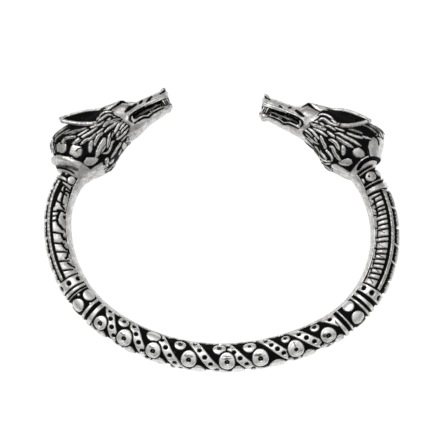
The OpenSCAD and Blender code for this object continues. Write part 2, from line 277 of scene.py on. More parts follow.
def lower_band(s, a):
    """Discs, strips and domes between the two end rings"""
    h = np.zeros_like(s + a)
    for middle, _, _ in STRIPS:
        off = np.abs(s - slanted(middle, a))
        crown = STRIP_CROWN * smooth(1 - off / STRIP_HALF)
        h = raised(h, (STRIP_HALF - off) * STRIP_SQUARE, STRIP_HEIGHT + crown)
    for middle, first, step in STRIPS:
        for i in range(-2, int((first + STRIP_PITS_TO) // step) + 1):
            angle = first - i * step
            h = pit(h, s, a, slanted(middle, angle), angle, STRIP_PIT_R)
    for s0, half in OUTER_DOMES:
        h = boss(h, s, a, s0, OUTER_DOME_ANGLE, half, OUTER_DOME_HALF, OUTER_DOME)
    for s0, boss_angle, r, pit_r in INNER_BOSSES:
        for angle, at in twins(s0, boss_angle, INNER_PERIOD):
            h = boss(h, s, a, at, angle, r, r * 0.9, INNER_BOSS)
            if pit_r > 0:
                h = pit(h, s, a, at, angle + INNER_PIT_OFF, pit_r, INNER_PIT_DEPTH)
    ring_share, ring_half, ring_depth = DISC_RING
    for s0, half_s, half_a, pit_r in DISCS:
        for angle, at in twins(s0, DISC_ANGLE, DISC_PERIOD):
            disc_at = angle + math.copysign(DISC_LEAN, angle)
            h = boss(h, s, a, at, disc_at, half_s, half_a, DISC)
            _, share = ellipse(s, a, at, disc_at, half_s, half_a)
            h = h - ring_depth * smooth(1.0 - np.abs(share - ring_share) / ring_half)
            h = pit(h, s, a, at, angle, pit_r, core=DISC_CORE)
    h = boss(h, s, a, *NIB_FORM, NIB)
    ends = np.minimum(s - LOWER_BAND[0], LOWER_BAND[1] - s)
    return h * smooth(ends / 0.2 + 0.5)


# Rings of the hoop: middle, half width, height, lean
RINGS = (
    (-57.25, 0.20, 0.34, 0.0),
    (-55.55, 0.36, 0.50, 0.0),
    (-33.65, 1.03, 0.45, 0.0),
    (-32.0, 0.36, 0.34, 0.0),
    (-31.2, 0.16, 0.32, 0.0),
    (-27.4, 0.36, 0.36, 0.12),
    (-25.85, 0.50, 0.42, 0.0),
    (24.4, 0.40, 0.44, 0.35),
    (25.75, 0.25, 0.34, 0.25),
    (29.75, 0.30, 0.38, 0.0),
    (30.95, 0.42, 0.30, -0.1),
    (32.95, 0.97, 0.45, 0.0),
    (54.4, 0.55, 0.50, 0.1),
    (55.6, 0.18, 0.42, 0.1),
    (58.35, 0.20, 0.36, 0.0),
)
# Pits of the collars: place, angle of one, degrees from pit to pit
COLLAR_PITS = ((-33.65, 79.7, 45.0), (32.95, 77.6, 40.0))
COLLAR_PIT_R = 0.5
# Small pit in the boss on top of the right neck: place, angle, radius, depth
NECK_PIT = (57.1, 90.0, 0.16, 0.3)
# Bosses between the rings: place, angle, half length, half width
END_BOSSES = (
    (-29.3, 54.0, 1.28, 1.62),
    (-29.4, 124.0, 1.34, 1.40),
    (-29.3, -20.0, 1.24, 1.24),
    (-29.3, -92.0, 1.24, 1.24),
    (-30.7, 88.0, 0.35, 0.35),
    (-27.7, 102.0, 0.4, 0.4),
    (27.85, 54.0, 1.28, 1.55),
    (28.0, 121.0, 1.28, 1.35),
    (27.9, -18.0, 1.25, 1.25),
    (27.9, -90.0, 1.25, 1.25),
)
NECK_BOSSES = (
    (56.95, 83.0, 1.05, 1.28),
    (56.95, 32.0, 0.80, 1.00),
    (57.0, -20.0, 0.80, 1.00),
    (56.95, -75.0, 0.95, 1.20),
    (57.0, 128.0, 0.75, 0.70),
    (-56.05, 110.0, 0.95, 0.92),
    (-56.05, -110.0, 0.95, 0.92),
    (-56.7, 74.0, 0.40, 0.40),
)


def end_zones(s, a):
    """Rings, collars and the bosses between them"""
    h = np.zeros_like(s + a)
    for form in END_BOSSES:
        h = boss(h, s, a, *form, END_BOSS)
    for middle, half, height, lean in RINGS:
        h = ring(h, s, a, middle, half, height, lean)
    for form in NECK_BOSSES:
        h = boss(h, s, a, *form, NECK_BOSS)
    h = pit(h, s, a, *NECK_PIT)
    for middle, first, step in COLLAR_PITS:
        for i in range(-1, int(360 // step) - 2):
            h = pit(h, s, a, middle, first - i * step, COLLAR_PIT_R)
    return h


# Side panels: distances from the lowest point of their dark lines, of the gaps between the plates of the
# outer edge, and of those gaps that a web crosses
RIGHT_LINES = (
    35.6, 36.7, 37.8, 38.8, 39.8, 40.9, 41.9, 43.4, 44.4, 45.9, 46.9, 47.9, 48.9, 49.8, 50.6, 51.8, 52.8,
)
RIGHT_PLATE_GAPS = (36.5, 39.7, 42.9, 46.3, 49.8, 53.1)
LEFT_LINES = (36.3, 38.3, 40.3, 42.1, 44.3, 50.8, 53.0, 54.4)
LEFT_PLATE_GAPS = (37.0, 40.2, 43.4, 46.8, 50.0, 53.0)
RIGHT_WEBS = (39.7, 42.9, 49.8, 53.1)
LEFT_WEBS = (40.2, 43.4, 46.8, 50.0)
# Cut lines at the inner ends of the ribs: half width, then distances and angles of the points
RIGHT_MARKS = (
    (0.16, 34.3, 132, 36.2, 133, 38.2, 136, 40.3, 138),
    (0.13, 36.0, 122, 37.3, 124, 37.3, 133),
    (0.13, 38.0, 124, 39.4, 125, 39.5, 136),
    (0.16, 40.0, 125, 41.5, 127),
    (0.15, 41.8, 124, 41.9, 140),
    (0.17, 42.0, 129, 43.3, 129),
    (0.16, 44.1, 127, 45.7, 127),
    (0.14, 44.2, 128, 44.1, 141),
    (0.16, 46.2, 126, 47.7, 124),
    (0.14, 46.2, 126, 46.1, 142),
    (0.18, 48.9, 118, 50.5, 117),
    (0.14, 49.0, 118, 49.1, 140),
    (0.18, 50.9, 117, 52.6, 115),
    (0.13, 51.4, 118, 51.3, 136),
    (0.02, 35.7, 124, 34.6, 92),
    (0.03, 38.0, 122, 37.0, 86),
    (0.04, 40.7, 122, 40.0, 86),
    (0.00, 42.7, 122, 42.1, 92),
    (0.00, 45.7, 121, 45.1, 96),
    (0.04, 50.2, 119, 49.4, 88),
)
LEFT_MARKS = (
    (0.14, 46.7, 79, 46.9, 100),
    (0.13, 47.7, 79, 47.8, 101),
    (0.14, 48.6, 79, 48.7, 106),
    (0.22, 34.9, 143, 37.8, 142),
    (0.21, 36.2, 133, 36.7, 125, 37.5, 114),
    (0.22, 38.6, 112, 38.9, 122, 39.5, 126),
    (0.20, 39.6, 134, 40.4, 131, 40.6, 124),
    (0.22, 40.5, 124, 41.2, 116, 42.0, 112),
    (0.21, 42.2, 136, 42.9, 131, 43.0, 124),
    (0.26, 42.7, 124, 43.3, 119, 43.9, 117),
    (0.21, 44.2, 138, 44.8, 132),
    (0.29, 45.0, 123, 45.7, 112),
    (0.23, 45.9, 107, 46.8, 100, 47.9, 104, 48.8, 111),
    (0.29, 47.5, 132, 47.7, 131),
    (0.22, 48.9, 100, 49.0, 118, 48.7, 132),
    (0.23, 49.4, 128, 50.2, 112, 51.3, 109, 53.1, 106, 53.9, 102),
    (0.19, 50.0, 146, 51.8, 139, 53.1, 134, 54.7, 127),
    (0.19, 53.2, 106, 53.5, 118, 53.3, 128),
    (0.28, 49.8, 80, 51.5, 83, 54.2, 86),
)


def stroke(s, a, points):
    """Distance on the bar from a line through points, given as place and angle in turn"""
    best = None
    points = list(zip(points[::2], points[1::2]))
    for (s0, a0), (s1, a1) in zip(points, points[1:]):
        run_s, run_a = s1 - s0, (a1 - a0) * MM_PER_DEGREE
        off_s, off_a = s - s0, (a - a0) * MM_PER_DEGREE
        t = np.clip((off_s * run_s + off_a * run_a) / (run_s ** 2 + run_a ** 2), 0.0, 1.0)
        far = np.hypot(off_s - t * run_s, off_a - t * run_a)
        best = far if best is None else np.minimum(best, far)
    return best


# The right and the left panel: which way it runs from the lowest point, where it starts and ends, its tables,
# half width of a web, degrees that a plate reaches from the outer edge, height of a plate, angle at which the
# rail starts, and how far a dark line leans
PANELS = (
    {
        "way": 1, "ends": (34.1, 53.4), "lines": RIGHT_LINES, "marks": RIGHT_MARKS,
        "gaps": RIGHT_PLATE_GAPS, "webs": RIGHT_WEBS, "web_half": 0.15,
        "plate_to": 22.0, "plate_rise": 0.52, "rail_from": 50.5, "lean": 0.35,
    },
    {
        "way": -1, "ends": (34.85, 55.0), "lines": LEFT_LINES, "marks": LEFT_MARKS,
        "gaps": LEFT_PLATE_GAPS, "webs": LEFT_WEBS, "web_half": 0.28,
        "plate_to": 30.0, "plate_rise": 0.36, "rail_from": 52.0, "lean": 0.6,
    },
)
RIB_FROM, RIB_TO = 79.0, 139.0
RIB_HEIGHT, RIB_CROWN = 0.40, 0.05
# Half width of a dark line, degrees over which it leans, and share of them at which its distance is measured
LINE_HALF, LINE_SPAN, LINE_AT = 0.10, 45.0, 0.29
RAIL_TO = 67.5
RAIL_HEIGHT, HATCH_DEPTH = 0.44, 0.10
# Plates: width of a gap, margin at each end, degrees that the middle reaches further, height of the crown
PLATE_GAP, PLATE_MARGIN, PLATE_BULGE, PLATE_CROWN = 0.45, 0.12, 9.0, 0.06


def side_panel(d, a, panel):
    """Ribs, rail and outer plates of one side panel. d is the distance from the lowest point."""
    side = np.abs(a)
    h = np.zeros_like(d + a)
    start, end = panel["ends"]
    ends = np.minimum(d - start, end - d)
    # Ribs, parted by lines that lean to the ring's lowest point on the inner side and fade there
    lean = (side - RIB_FROM) / LINE_SPAN
    line_shift = panel["lean"] * (LINE_AT - lean)
    line_off = np.min([np.abs(d - (line + line_shift)) for line in panel["lines"]], axis=0)
    line_off = line_off + 0.3 * smooth((lean - 1.0) / 0.15)
    along_ribs = np.minimum(side - RIB_FROM, RIB_TO - side) * MM_PER_DEGREE
    rib = np.minimum(along_ribs, line_off - LINE_HALF)
    h = raised(h, np.minimum(rib, ends), RIB_HEIGHT + RIB_CROWN * smooth(line_off / 0.6), 0.2)
    for half, *points in panel["marks"]:
        h = cleared(h, half - stroke(d, side, points), 0.14)
    # Rail, with faint uneven hatching
    above_rail = side - panel["rail_from"]
    rail = np.minimum(above_rail, RAIL_TO - side) * MM_PER_DEGREE
    hatch = smooth(0.5 + 0.5 * np.sin(7.5 * d + 0.35 * above_rail) * np.sin(0.9 * d + 2.0))
    h = raised(h, np.minimum(rail, ends), RAIL_HEIGHT - HATCH_DEPTH * hatch)
    # Plates of the outer edge, each with round corners
    slant = 0.012 * (side - 20.0)
    for low, high in zip((start,) + panel["gaps"], panel["gaps"] + (end,)):
        low = low + PLATE_GAP
        middle, half = (low + high) / 2, (high - low) / 2
        off = np.abs(d - middle - slant) / half
        edge_angle = panel["plate_to"] + PLATE_BULGE * (1.0 - off ** 2)
        inside = np.minimum((edge_angle - side) * MM_PER_DEGREE, (1.0 - off) * half - PLATE_MARGIN)
        plate_height = panel["plate_rise"] + PLATE_CROWN * smooth(1.0 - off)
        h = raised(h, np.minimum(inside, ends), plate_height, 0.16)
    # Webs, which join two plates and run up to the rail
    for web in panel["webs"]:
        inside = np.minimum(panel["web_half"] - np.abs(d - web - slant), (RAIL_TO - side) * MM_PER_DEGREE)
        h = raised(h, inside, panel["plate_rise"] - PLATE_CROWN, 0.12)
    return h


# Inner band: angle at which it starts, how much narrower it is in the lower middle, how much wider along the
# panels and again at the necks, all in degrees, and its height
INNER_EDGE = 143.0
INNER_NARROW, INNER_AT_PANELS, INNER_AT_NECKS = 14.0, 4.0, 12.0
INNER_HEIGHT = 0.34


def inner_band(s, a, h):
    """Plain satin band on the wrist side, narrow and uneven in the lower middle"""
    d = np.abs(s)
    step = INNER_AT_PANELS * smooth((d - 33.0) / 1.0) + INNER_AT_NECKS * smooth((d - 52.0) / 6.0)
    uneven = 6.0 * np.sin(2.3 * s) * np.sin(0.9 * s + 1.0)
    edge = INNER_EDGE + (INNER_NARROW + uneven) * (1.0 - smooth((d - 14.0) / 9.0)) - step
    inside = (np.abs(a) - edge) * MM_PER_DEGREE
    return raised(cleared(h, inside + 0.12, 0.1), inside, INNER_HEIGHT, 0.25)


# How high the relief may stand over the ground, and how high on the underside, which starts at this angle
HIGHEST, HIGHEST_UNDER, UNDER_FROM = 0.58, 0.39, -35.0


def hoop_relief(s, a):
    """Height of the whole hoop's relief"""
    h = np.maximum(lower_band(s, a), end_zones(s, a))
    for panel in PANELS:
        h = np.maximum(h, side_panel(panel["way"] * s, a, panel))
    h = inner_band(s, a, h)
    return np.minimum(h, np.where(a < UNDER_FROM, HIGHEST_UNDER, HIGHEST))


def blurred(field, radius, axis, wrap=False):
    """Field averaged over a run of cells to both sides along one axis"""
    n = 2 * radius + 1
    pad = [(0, 0)] * field.ndim
    pad[axis] = (radius + 1, radius)
    padded = np.pad(field, pad, mode="wrap" if wrap else "edge")
    total = np.cumsum(padded, axis=axis, dtype=np.float64)
    size = field.shape[axis]
    upper = np.take(total, range(n, n + size), axis=axis)
    lower = np.take(total, range(size), axis=axis)
    return ((upper - lower) / n).astype(np.float32)


def soot_of(recess, height):
    """Share of black on the surface, from how far it lies under its surroundings and over the ground"""
    low = 1.0 - smooth((height - 0.10) / 0.20)
    return np.maximum(low, smooth((recess - 0.015) / 0.14))


# Scratches and smudges on the discs: place, angle, half length, half width, tone
SCRATCHES = (
    (-23.9, 77.0, 0.7, 0.13, 0.40),
    (-18.9, 80.0, 0.7, 0.15, 0.45),
    (-12.8, 80.0, 0.6, 0.16, 0.45),
    (-12.0, 51.0, 0.5, 0.13, 0.35),
    (-5.5, 82.0, 1.0, 0.34, 0.45),
    (1.75, 79.5, 1.0, 0.14, 0.65),
    (1.75, 88.0, 0.8, 0.13, 0.60),
    (7.7, 82.0, 0.8, 0.30, 0.60),
    (8.4, 75.0, 0.7, 0.14, 0.45),
    (14.9, 87.0, 0.18, 0.75, 0.42),
    (15.6, 55.0, 0.5, 0.13, 0.35),
    (20.8, 74.0, 0.5, 0.40, 0.55),
)


def scratched(s, a):
    """Tone of the scratches"""
    tone = np.zeros_like(s + a)
    for s0, a0, half_s, half_a, dark in SCRATCHES:
        _, share = ellipse(s, a, s0, a0, half_s, half_a)
        tone = np.maximum(tone, dark * (1.0 - smooth((share - 0.6) / 0.7)))
    return tone


# Wear and painted light on the outer edge along each panel, most on the left: share of the black that is
# gone, and degrees from the edge
LEFT_WEAR_AND_LIGHT, RIGHT_WEAR_AND_LIGHT = (0.95, 34.0), (0.65, 17.0)


def worn_and_lit(s, a):
    """Share of the black that wear and painted light leave. The outermost edge along the panels is painted
    bright, for its wear and for the light that falls on it, most on the left.
    """
    panels = smooth((np.abs(s) - 34.3) / 0.5) * smooth((54.0 - np.abs(s)) / 0.5)
    gone, reach = (np.where(s < 0, left, right) for left, right in zip(LEFT_WEAR_AND_LIGHT, RIGHT_WEAR_AND_LIGHT))
    return 1.0 - gone * panels * smooth((reach - np.abs(a)) / 6.0)


# Tones of the sides that aren't polished, with painted shade on the outer flank and the underside, and how
# much of the outer one is left along the left panel, which is painted lighter for the light that falls on it
OUTER_SATIN_AND_SHADE, INNER_TONE, UNDER_SATIN_AND_SHADE, RIB_TONE = 0.08, 0.14, 0.18, 0.17
LEFT_OUTER_LIT_SHARE = 0.3


def satin_and_painted_shade(s, a):
    """Tone of the sides that aren't polished, by the place and the angle round the bar: satin grey, with
    painted shade on the outer flank and the underside
    """
    side = np.abs(a)
    outer = 1.0 - smooth((side - 25.0) / 25.0)
    inner = smooth((side - 135.0) / 12.0)
    under = smooth((-a - 5.0) / 30.0) * (1.0 - inner)
    ribs = smooth((np.abs(s) - 34.0) / 0.5) * smooth((side - 45.0) / 5.0) * (1.0 - inner)
    outer_tone = OUTER_SATIN_AND_SHADE * outer * np.where(s < -34.0, LEFT_OUTER_LIT_SHARE, 1.0)
    tones = np.broadcast_arrays(outer_tone, INNER_TONE * inner, UNDER_SATIN_AND_SHADE * under, RIB_TONE * ribs)
    return np.maximum.reduce(tones)


# Painted light: the lower middle is painted lighter, for the light that falls on it there
def painted_light_lower_middle(s):
    """How much brighter the lower middle is than the rest, as the photo shows it"""
    return 0.09 * (1.0 - smooth((np.abs(s) - 8.0) / 8.0))


# Pieces of the hoop: name, where each starts and ends, and how far the plugs at its start and its end reach
# into the next piece
HOOP_PIECES = (
    ("hoop_left", -57.6, -26.7, 1.4, 0.0),
    ("hoop_lower", -26.7, 25.2, 0.3, 0.3),
    ("hoop_right", 25.2, 59.3, 0.0, 1.6),
)
STEP_ALONG = 0.1
SIDES = 176
# Height of a plug's surface, which lies under the ground
PLUG_HEIGHT = -0.25
# Rows past each end that the blur needs, and how many cells it takes in to each side, first and second time
BLUR_ROWS, BLUR_CELLS = 12, (4, 3)


def tube_faces(rows, sides):
    """Quads of a tube, and triangles that close it on two more points, one for each end"""
    index = np.arange(rows * sides).reshape(rows, sides)
    nxt = np.roll(index, -1, axis=1)
    quads = np.stack((index[:-1], nxt[:-1], nxt[1:], index[1:]), axis=-1).reshape(-1, 4)
    fans = [(rows * sides, nxt[0, i], index[0, i]) for i in range(sides)]
    fans += [(rows * sides + 1, index[-1, i], nxt[-1, i]) for i in range(sides)]
    return quads, fans


def plug_rows(at, reach, heights):
    """Places and heights of a plug's two rows, which reach out of a tube's end. Without a reach, none."""
    if reach == 0:
        return []
    return [(at, np.minimum(heights, PLUG_HEIGHT)), (at + reach, np.full(SIDES, PLUG_HEIGHT))]


def hoop_sheet(name, start, end, plug_start, plug_end):
    """Closed tube whose points carry their place, angle, radius and share of black with painted light and
    shade, to be wrapped round the bar
    """
    rows = int(round((end - start) / STEP_ALONG))
    s = np.linspace(start, end, rows + 1)
    a = np.arange(SIDES) * 360.0 / SIDES - 180.0
    beyond = STEP_ALONG * np.arange(1, BLUR_ROWS + 1)
    wide, angles = np.concatenate((s[0] - beyond[::-1], s, s[-1] + beyond))[:, None], a[None, :]
    h = hoop_relief(wide, angles)
    level = h
    for cells in BLUR_CELLS:
        level = blurred(blurred(level, cells, 0), cells, 1, wrap=True)
    # Patina of the hollows with painted light on the panels' outer edges, then satin and scratches, painted
    # shade on the underside and outer flank, and painted light on the lower middle
    black = soot_of(level - h, h) * worn_and_lit(wide, angles)
    black_and_painted_light = np.maximum.reduce((black, satin_and_painted_shade(wide, angles), scratched(wide, angles)))
    black_and_painted_light = black_and_painted_light[BLUR_ROWS:-BLUR_ROWS] - painted_light_lower_middle(s)[:, None]
    h = h[BLUR_ROWS:-BLUR_ROWS]
    before, after = plug_rows(start, -plug_start, h[0])[::-1], plug_rows(end, plug_end, h[-1])
    places = np.array([at for at, _ in before] + list(s) + [at for at, _ in after])
    heights = np.array([row for _, row in before] + list(h) + [row for _, row in after])
    black_and_painted_light = np.pad(black_and_painted_light, ((len(before), len(after)), (0, 0)), constant_values=1.0)
    lengths = (places - BAR_FROM) * MM
    # Values of the tube's points, and of the middle point that closes each end
    values = {
        "along": (np.repeat(lengths, SIDES), (lengths[0], lengths[-1])),
        "round": (np.tile(np.radians(a), len(places)), (0.0, 0.0)),
        "radius": ((GROUND_R + heights).ravel() * MM, (0.0, 0.0)),
        "black_and_painted_light": (black_and_painted_light.ravel(), (1.0, 1.0)),
    }
    mesh = mesh_of(name, np.zeros((len(places) * SIDES + 2, 3)), *tube_faces(len(places), SIDES))
    for label, (on_tube, at_ends) in values.items():
        set_values(mesh, label, np.concatenate((on_tube, at_ends)))
    return mesh


def mesh_of(name, points, quads, triangles=()):
    """Mesh from arrays of points, quads and triangles"""
    mesh = bpy.data.meshes.new(name)
    quads = np.asarray(quads, dtype=np.int32).reshape(-1, 4)
    triangles = np.asarray(triangles, dtype=np.int32).reshape(-1, 3)
    mesh.vertices.add(len(points))
    mesh.vertices.foreach_set("co", np.asarray(points, dtype=np.float32).ravel())
    loops = np.concatenate((quads.ravel(), triangles.ravel()))
    starts = np.concatenate((np.arange(len(quads)) * 4, len(quads) * 4 + np.arange(len(triangles)) * 3))
    mesh.loops.add(len(loops))
    mesh.loops.foreach_set("vertex_index", loops)
    mesh.polygons.add(len(starts))
    mesh.polygons.foreach_set("loop_start", starts.astype(np.int32))
    mesh.polygons.foreach_set("use_smooth", np.ones(len(starts), dtype=bool))
    mesh.update(calc_edges=True)
    mesh.validate()
    return mesh


def set_values(mesh, label, values):
    """Give each point of a mesh a value"""
    mesh.attributes.new(label, "FLOAT", "POINT").data.foreach_set("value", values.astype(np.float32))


# Node trees


def add_node(tree, kind, settings=(), values=()):
    """New node in a tree of any kind, with its settings, and the values or sources of its inputs"""
    made = tree.nodes.new(kind)
    for label, value in dict(settings).items():
        setattr(made, label, value)
    for socket, value in dict(values).items():
        if isinstance(value, bpy.types.NodeSocket):
            tree.links.new(value, made.inputs[socket])
        else:
            made.inputs[socket].default_value = value
    return made


class Tree:
    """A Geometry Nodes tree under construction, with named inputs"""

    def __init__(self, name, inputs):
        self.group = bpy.data.node_groups.new(name, "GeometryNodeTree")
        face = self.group.interface
        self.sockets = {}
        for label, kind in inputs:
            self.sockets[label] = face.new_socket(label, in_out="INPUT", socket_type=kind).identifier
        face.new_socket("Geometry", in_out="OUTPUT", socket_type="NodeSocketGeometry")
        self.inputs = self.node("NodeGroupInput").outputs
        self.output = self.node("NodeGroupOutput").inputs[0]

    def node(self, kind, settings=(), values=()):
        return add_node(self.group, kind, settings, values)

    def math(self, operation, first, second=0.0):
        return self.node("ShaderNodeMath", {"operation": operation}, {0: first, 1: second}).outputs[0]

    def vector(self, operation, first, second):
        label = "Scale" if operation == "SCALE" else 1
        made = self.node("ShaderNodeVectorMath", {"operation": operation}, {0: first, label: second})
        return made.outputs[0]

    def attribute(self, label):
        made = self.node("GeometryNodeInputNamedAttribute", {"data_type": "FLOAT"}, {"Name": label})
        return made.outputs[0]

    def finish(self, geometry, material):
        """Close the tree with real geometry in its material"""
        real = self.node("GeometryNodeRealizeInstances", values={0: geometry}).outputs[0]
        painted = self.node("GeometryNodeSetMaterial", values={"Geometry": real, "Material": material})
        self.group.links.new(painted.outputs[0], self.output)

    def result(self, obj, values):
        """Plain mesh that the tree makes of the object, with these values for its named inputs"""
        modifier = obj.modifiers.new("tree", "NODES")
        modifier.node_group = self.group
        for label, value in values.items():
            modifier[self.sockets[label]] = value
        evaluated = obj.evaluated_get(bpy.context.evaluated_depsgraph_get())
        mesh = bpy.data.meshes.new_from_object(evaluated)
        obj.modifiers.remove(modifier)
        return mesh


def wrap_tree():
    """Tree that bends a sheet round the bar: each point goes to its place, angle and radius on the path"""
    tree = Tree("wrap_round_bar", (
        ("Geometry", "NodeSocketGeometry"),
        ("Path", "NodeSocketObject"),
        ("Material", "NodeSocketMaterial"),
    ))
    path = tree.node("GeometryNodeObjectInfo", {"transform_space": "ORIGINAL"},
                     {"Object": tree.inputs["Path"]})
    sample = tree.node("GeometryNodeSampleCurve", {"mode": "LENGTH", "use_all_curves": True},
                       {"Curves": path.outputs["Geometry"], "Length": tree.attribute("along")})
    outward = tree.vector("CROSS_PRODUCT", sample.outputs["Tangent"], (0.0, 0.0, 1.0))
    angle, radius = tree.attribute("round"), tree.attribute("radius")
    across = tree.vector("SCALE", outward, tree.math("MULTIPLY", radius, tree.math("COSINE", angle)))
    rise = tree.math("MULTIPLY", radius, tree.math("SINE", angle))
    upward = tree.vector("SCALE", (0.0, 0.0, 1.0), rise)
    place = tree.vector("ADD", sample.outputs["Position"], tree.vector("ADD", across, upward))
    sheet = tree.inputs["Geometry"]
    moved = tree.node("GeometryNodeSetPosition", values={"Geometry": sheet, "Position": place})
    tree.finish(moved.outputs[0], tree.inputs["Material"])
    return tree


def finished(name, mesh, material):
    """Piece at the origin that rides on the ring's one body, with its faces turned outwards"""
    mesh.name = name
    mesh.transform(REST)
    if signed_volume(mesh) < 0:
        mesh.flip_normals()
    if not mesh.materials:
        mesh.materials.append(material)
    for label in ("along", "round", "radius"):
        if label in mesh.attributes:
            mesh.attributes.remove(mesh.attributes[label])
    piece = bpy.data.objects.new(name, mesh)
    bpy.context.scene.collection.objects.link(piece)
    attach(piece, "root")
    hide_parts("arm_ring")
    return piece


def hoop(material):
    """The three pieces of the hoop, each a sheet that is wrapped round the bar's path"""
    path = bar_path()
    tree = wrap_tree()
    for name, start, end, plug_start, plug_end in HOOP_PIECES:
        sheet = bpy.data.objects.new("sheet", hoop_sheet(name, start, end, plug_start, plug_end))
        bpy.context.scene.collection.objects.link(sheet)
        mesh = tree.result(sheet, {"Path": path, "Material": material})
        bpy.data.objects.remove(sheet)
        finished(name, mesh, material)
    bpy.data.objects.remove(path)


# Heads. Sizes are in a head's own frame: x along the snout, y to its crown, z sideways from its middle plane.
# Tables of places on a head's side give x and y as the photograph shows them, projected on the middle plane.

# Half width of a head at its mane
MANE_HALF = 5.3
# Cross-sections from the neck to the nose: x and y of the top, x and y of the underside,
# half width as a share of the mane's
LEFT_SECTIONS = (
    (-9.7, -2.5, -5.9, -7.4, 0.54),
    (-9.6, -2.0, -5.3, -7.4, 0.60),
    (-9.4, -0.5, -4.4, -7.2, 0.70),
    (-9.1, 0.2, -3.8, -7.1, 0.76),
    (-8.8, 1.2, -3.2, -7.2, 0.82),
    (-8.1, 3.4, -1.8, -7.3, 0.90),
    (-6.8, 4.3, -0.3, -7.1, 0.94),
    (-4.5, 4.7, 1.4, -6.2, 0.95),
    (-1.5, 4.8, 3.2, -4.9, 0.92),
    (1.5, 4.9, 5.0, -4.1, 0.85),
    (4.0, 5.0, 6.5, -3.6, 0.77),
    (6.6, 4.9, 7.9, -3.4, 0.68),
    (8.4, 4.8, 9.2, -3.1, 0.60),
    (9.4, 4.0, 10.0, -2.8, 0.55),
    (10.3, 3.25, 10.8, -2.5, 0.51),
    (12.5, 3.1, 12.5, -2.1, 0.47),
    (15.0, 3.0, 14.8, -1.85, 0.44),
    (16.7, 2.9, 16.3, -1.4, 0.39),
    (17.6, 2.3, 17.3, -0.6, 0.26),
)
RIGHT_SECTIONS = (
    (-8.7, -1.3, -5.2, -6.4, 0.56),
    (-8.8, -0.6, -4.7, -6.5, 0.68),
    (-8.8, 0.6, -3.8, -6.5, 0.80),
    (-8.2, 3.4, -1.9, -6.3, 0.90),
    (-7.0, 4.7, -0.3, -6.1, 0.94),
    (-4.5, 5.2, 1.4, -5.2, 0.95),
    (-1.5, 5.3, 3.2, -3.9, 0.92),
    (1.5, 5.4, 5.0, -2.9, 0.85),
    (4.0, 5.5, 6.5, -2.35, 0.77),
    (6.6, 5.3, 7.9, -2.05, 0.68),
    (8.7, 5.3, 9.2, -1.85, 0.60),
    (9.7, 4.3, 10.0, -1.75, 0.55),
    (10.7, 3.6, 10.8, -1.6, 0.51),
    (12.5, 3.45, 12.5, -1.35, 0.47),
    (15.0, 3.4, 14.8, -1.1, 0.44),
    (16.8, 3.2, 16.3, -0.75, 0.39),
    (17.7, 2.6, 17.3, -0.2, 0.26),
)

# Locks of the mane: width, then x and y of the points from the root to the tip
LEFT_LOCKS = (
    (0.28, 5.75, 3.85, 4.95, 4.27, 4.15, 4.45, 3.2, 4.25),
    (0.40, 5.45, 3.15, 4.9, 3.55, 4.35, 3.65, 3.0, 3.4, 1.9, 3.25),
    (0.35, 3.0, 3.95, 2.5, 3.8, 2.3, 3.5),
    (0.34, 3.3, 2.72, 2.65, 2.52, 2.0, 2.5, 1.0, 2.7, -0.2, 2.8),
    (0.36, 4.8, 2.68, 4.3, 2.52),
    (0.70, 6.6, 1.5, 5.8, 1.75, 5.0, 1.85, 4.1, 2.1, 3.3, 1.95, 2.7, 1.55),
    (0.32, 2.7, 1.42, 2.0, 1.27, 1.2, 1.12),
    (0.44, 6.2, 1.3, 5.4, 1.15, 4.6, 1.0, 3.6, 0.85, 2.7, 0.6),
    (0.46, 1.5, 2.15, 0.0, 1.9, -1.6, 1.75, -2.8, 1.65),
    (0.78, -2.2, 1.7, -3.0, 1.6, -3.9, 1.45),
    (0.56, 0.7, 1.15, 0.0, 0.8, -0.8, 0.62, -1.6, 0.85, -2.7, 0.55),
    (0.58, 2.15, 0.6, 1.6, 0.5, 0.9, 0.35, 0.2, -0.2, -0.45, -0.9),
    (0.85, -0.6, 0.1, -1.2, -0.5, -1.75, -1.4),
    (1.25, 2.0, -0.5, 1.3, -1.15, 0.4, -1.75, -0.9, -2.85),
    (0.30, 1.4, -2.2, 0.7, -2.65, 0.0, -3.05),
    (0.55, 4.1, -0.05, 3.3, -0.5, 2.6, -1.3, 2.2, -1.9, 1.7, -2.5),
    (0.60, 3.9, -0.3, 3.4, -0.75),
    (0.30, 3.9, -1.9, 2.9, -2.2, 2.3, -2.85, 1.6, -3.5, 0.9, -3.68, 0.3, -3.45),
    (0.46, 6.6, 0.75, 5.9, 0.6, 5.3, 0.25, 4.8, -0.17, 4.3, -0.5),
    (0.32, 5.2, -0.8, 4.8, -1.05, 4.45, -1.35),
    (0.32, 7.1, -1.1, 6.3, -1.5, 5.5, -1.8, 4.5, -2.0, 3.5, -1.85),
    (0.22, 7.4, -0.35, 6.6, -0.6, 5.9, -0.85, 5.4, -1.2),
    (0.24, 7.1, 0.3, 6.4, 0.0, 5.7, -0.4),
    (0.28, 6.1, -2.2, 5.4, -2.5, 4.8, -2.75),
    (0.26, 6.2, -2.8, 5.8, -3.2, 5.4, -3.5),
    (0.46, 4.6, -2.95, 3.9, -3.4, 3.25, -3.75, 2.45, -4.3, 1.5, -4.9),
    (0.42, 4.0, -4.1, 3.6, -4.5, 3.2, -4.9),
    (0.80, 0.5, -4.75, 0.2, -5.1, 0.0, -5.6),
    (0.50, 1.6, -5.5, 0.8, -5.9, 0.2, -5.7),
    (0.42, 1.3, -6.5, 0.3, -6.85, -0.7, -7.0),
    (0.62, -3.0, 2.4, -4.4, 2.9, -5.3, 3.1, -6.2, 2.65),
    (0.26, 0.2, 2.75, -1.4, 2.55, -2.9, 2.45),
    (0.30, -2.0, 3.6, -3.4, 3.8, -5.0, 4.1),
    (0.30, -0.6, 3.2, -2.2, 3.35, -4.0, 3.4),
    (0.34, -2.6, 4.9, -4.4, 4.8, -6.2, 4.6, -7.2, 4.2),
    (0.30, -3.6, 4.4, -5.2, 4.35, -6.9, 4.05, -7.5, 3.3),
    (0.42, -8.0, 3.9, -8.35, 3.0, -8.7, 1.5),
)
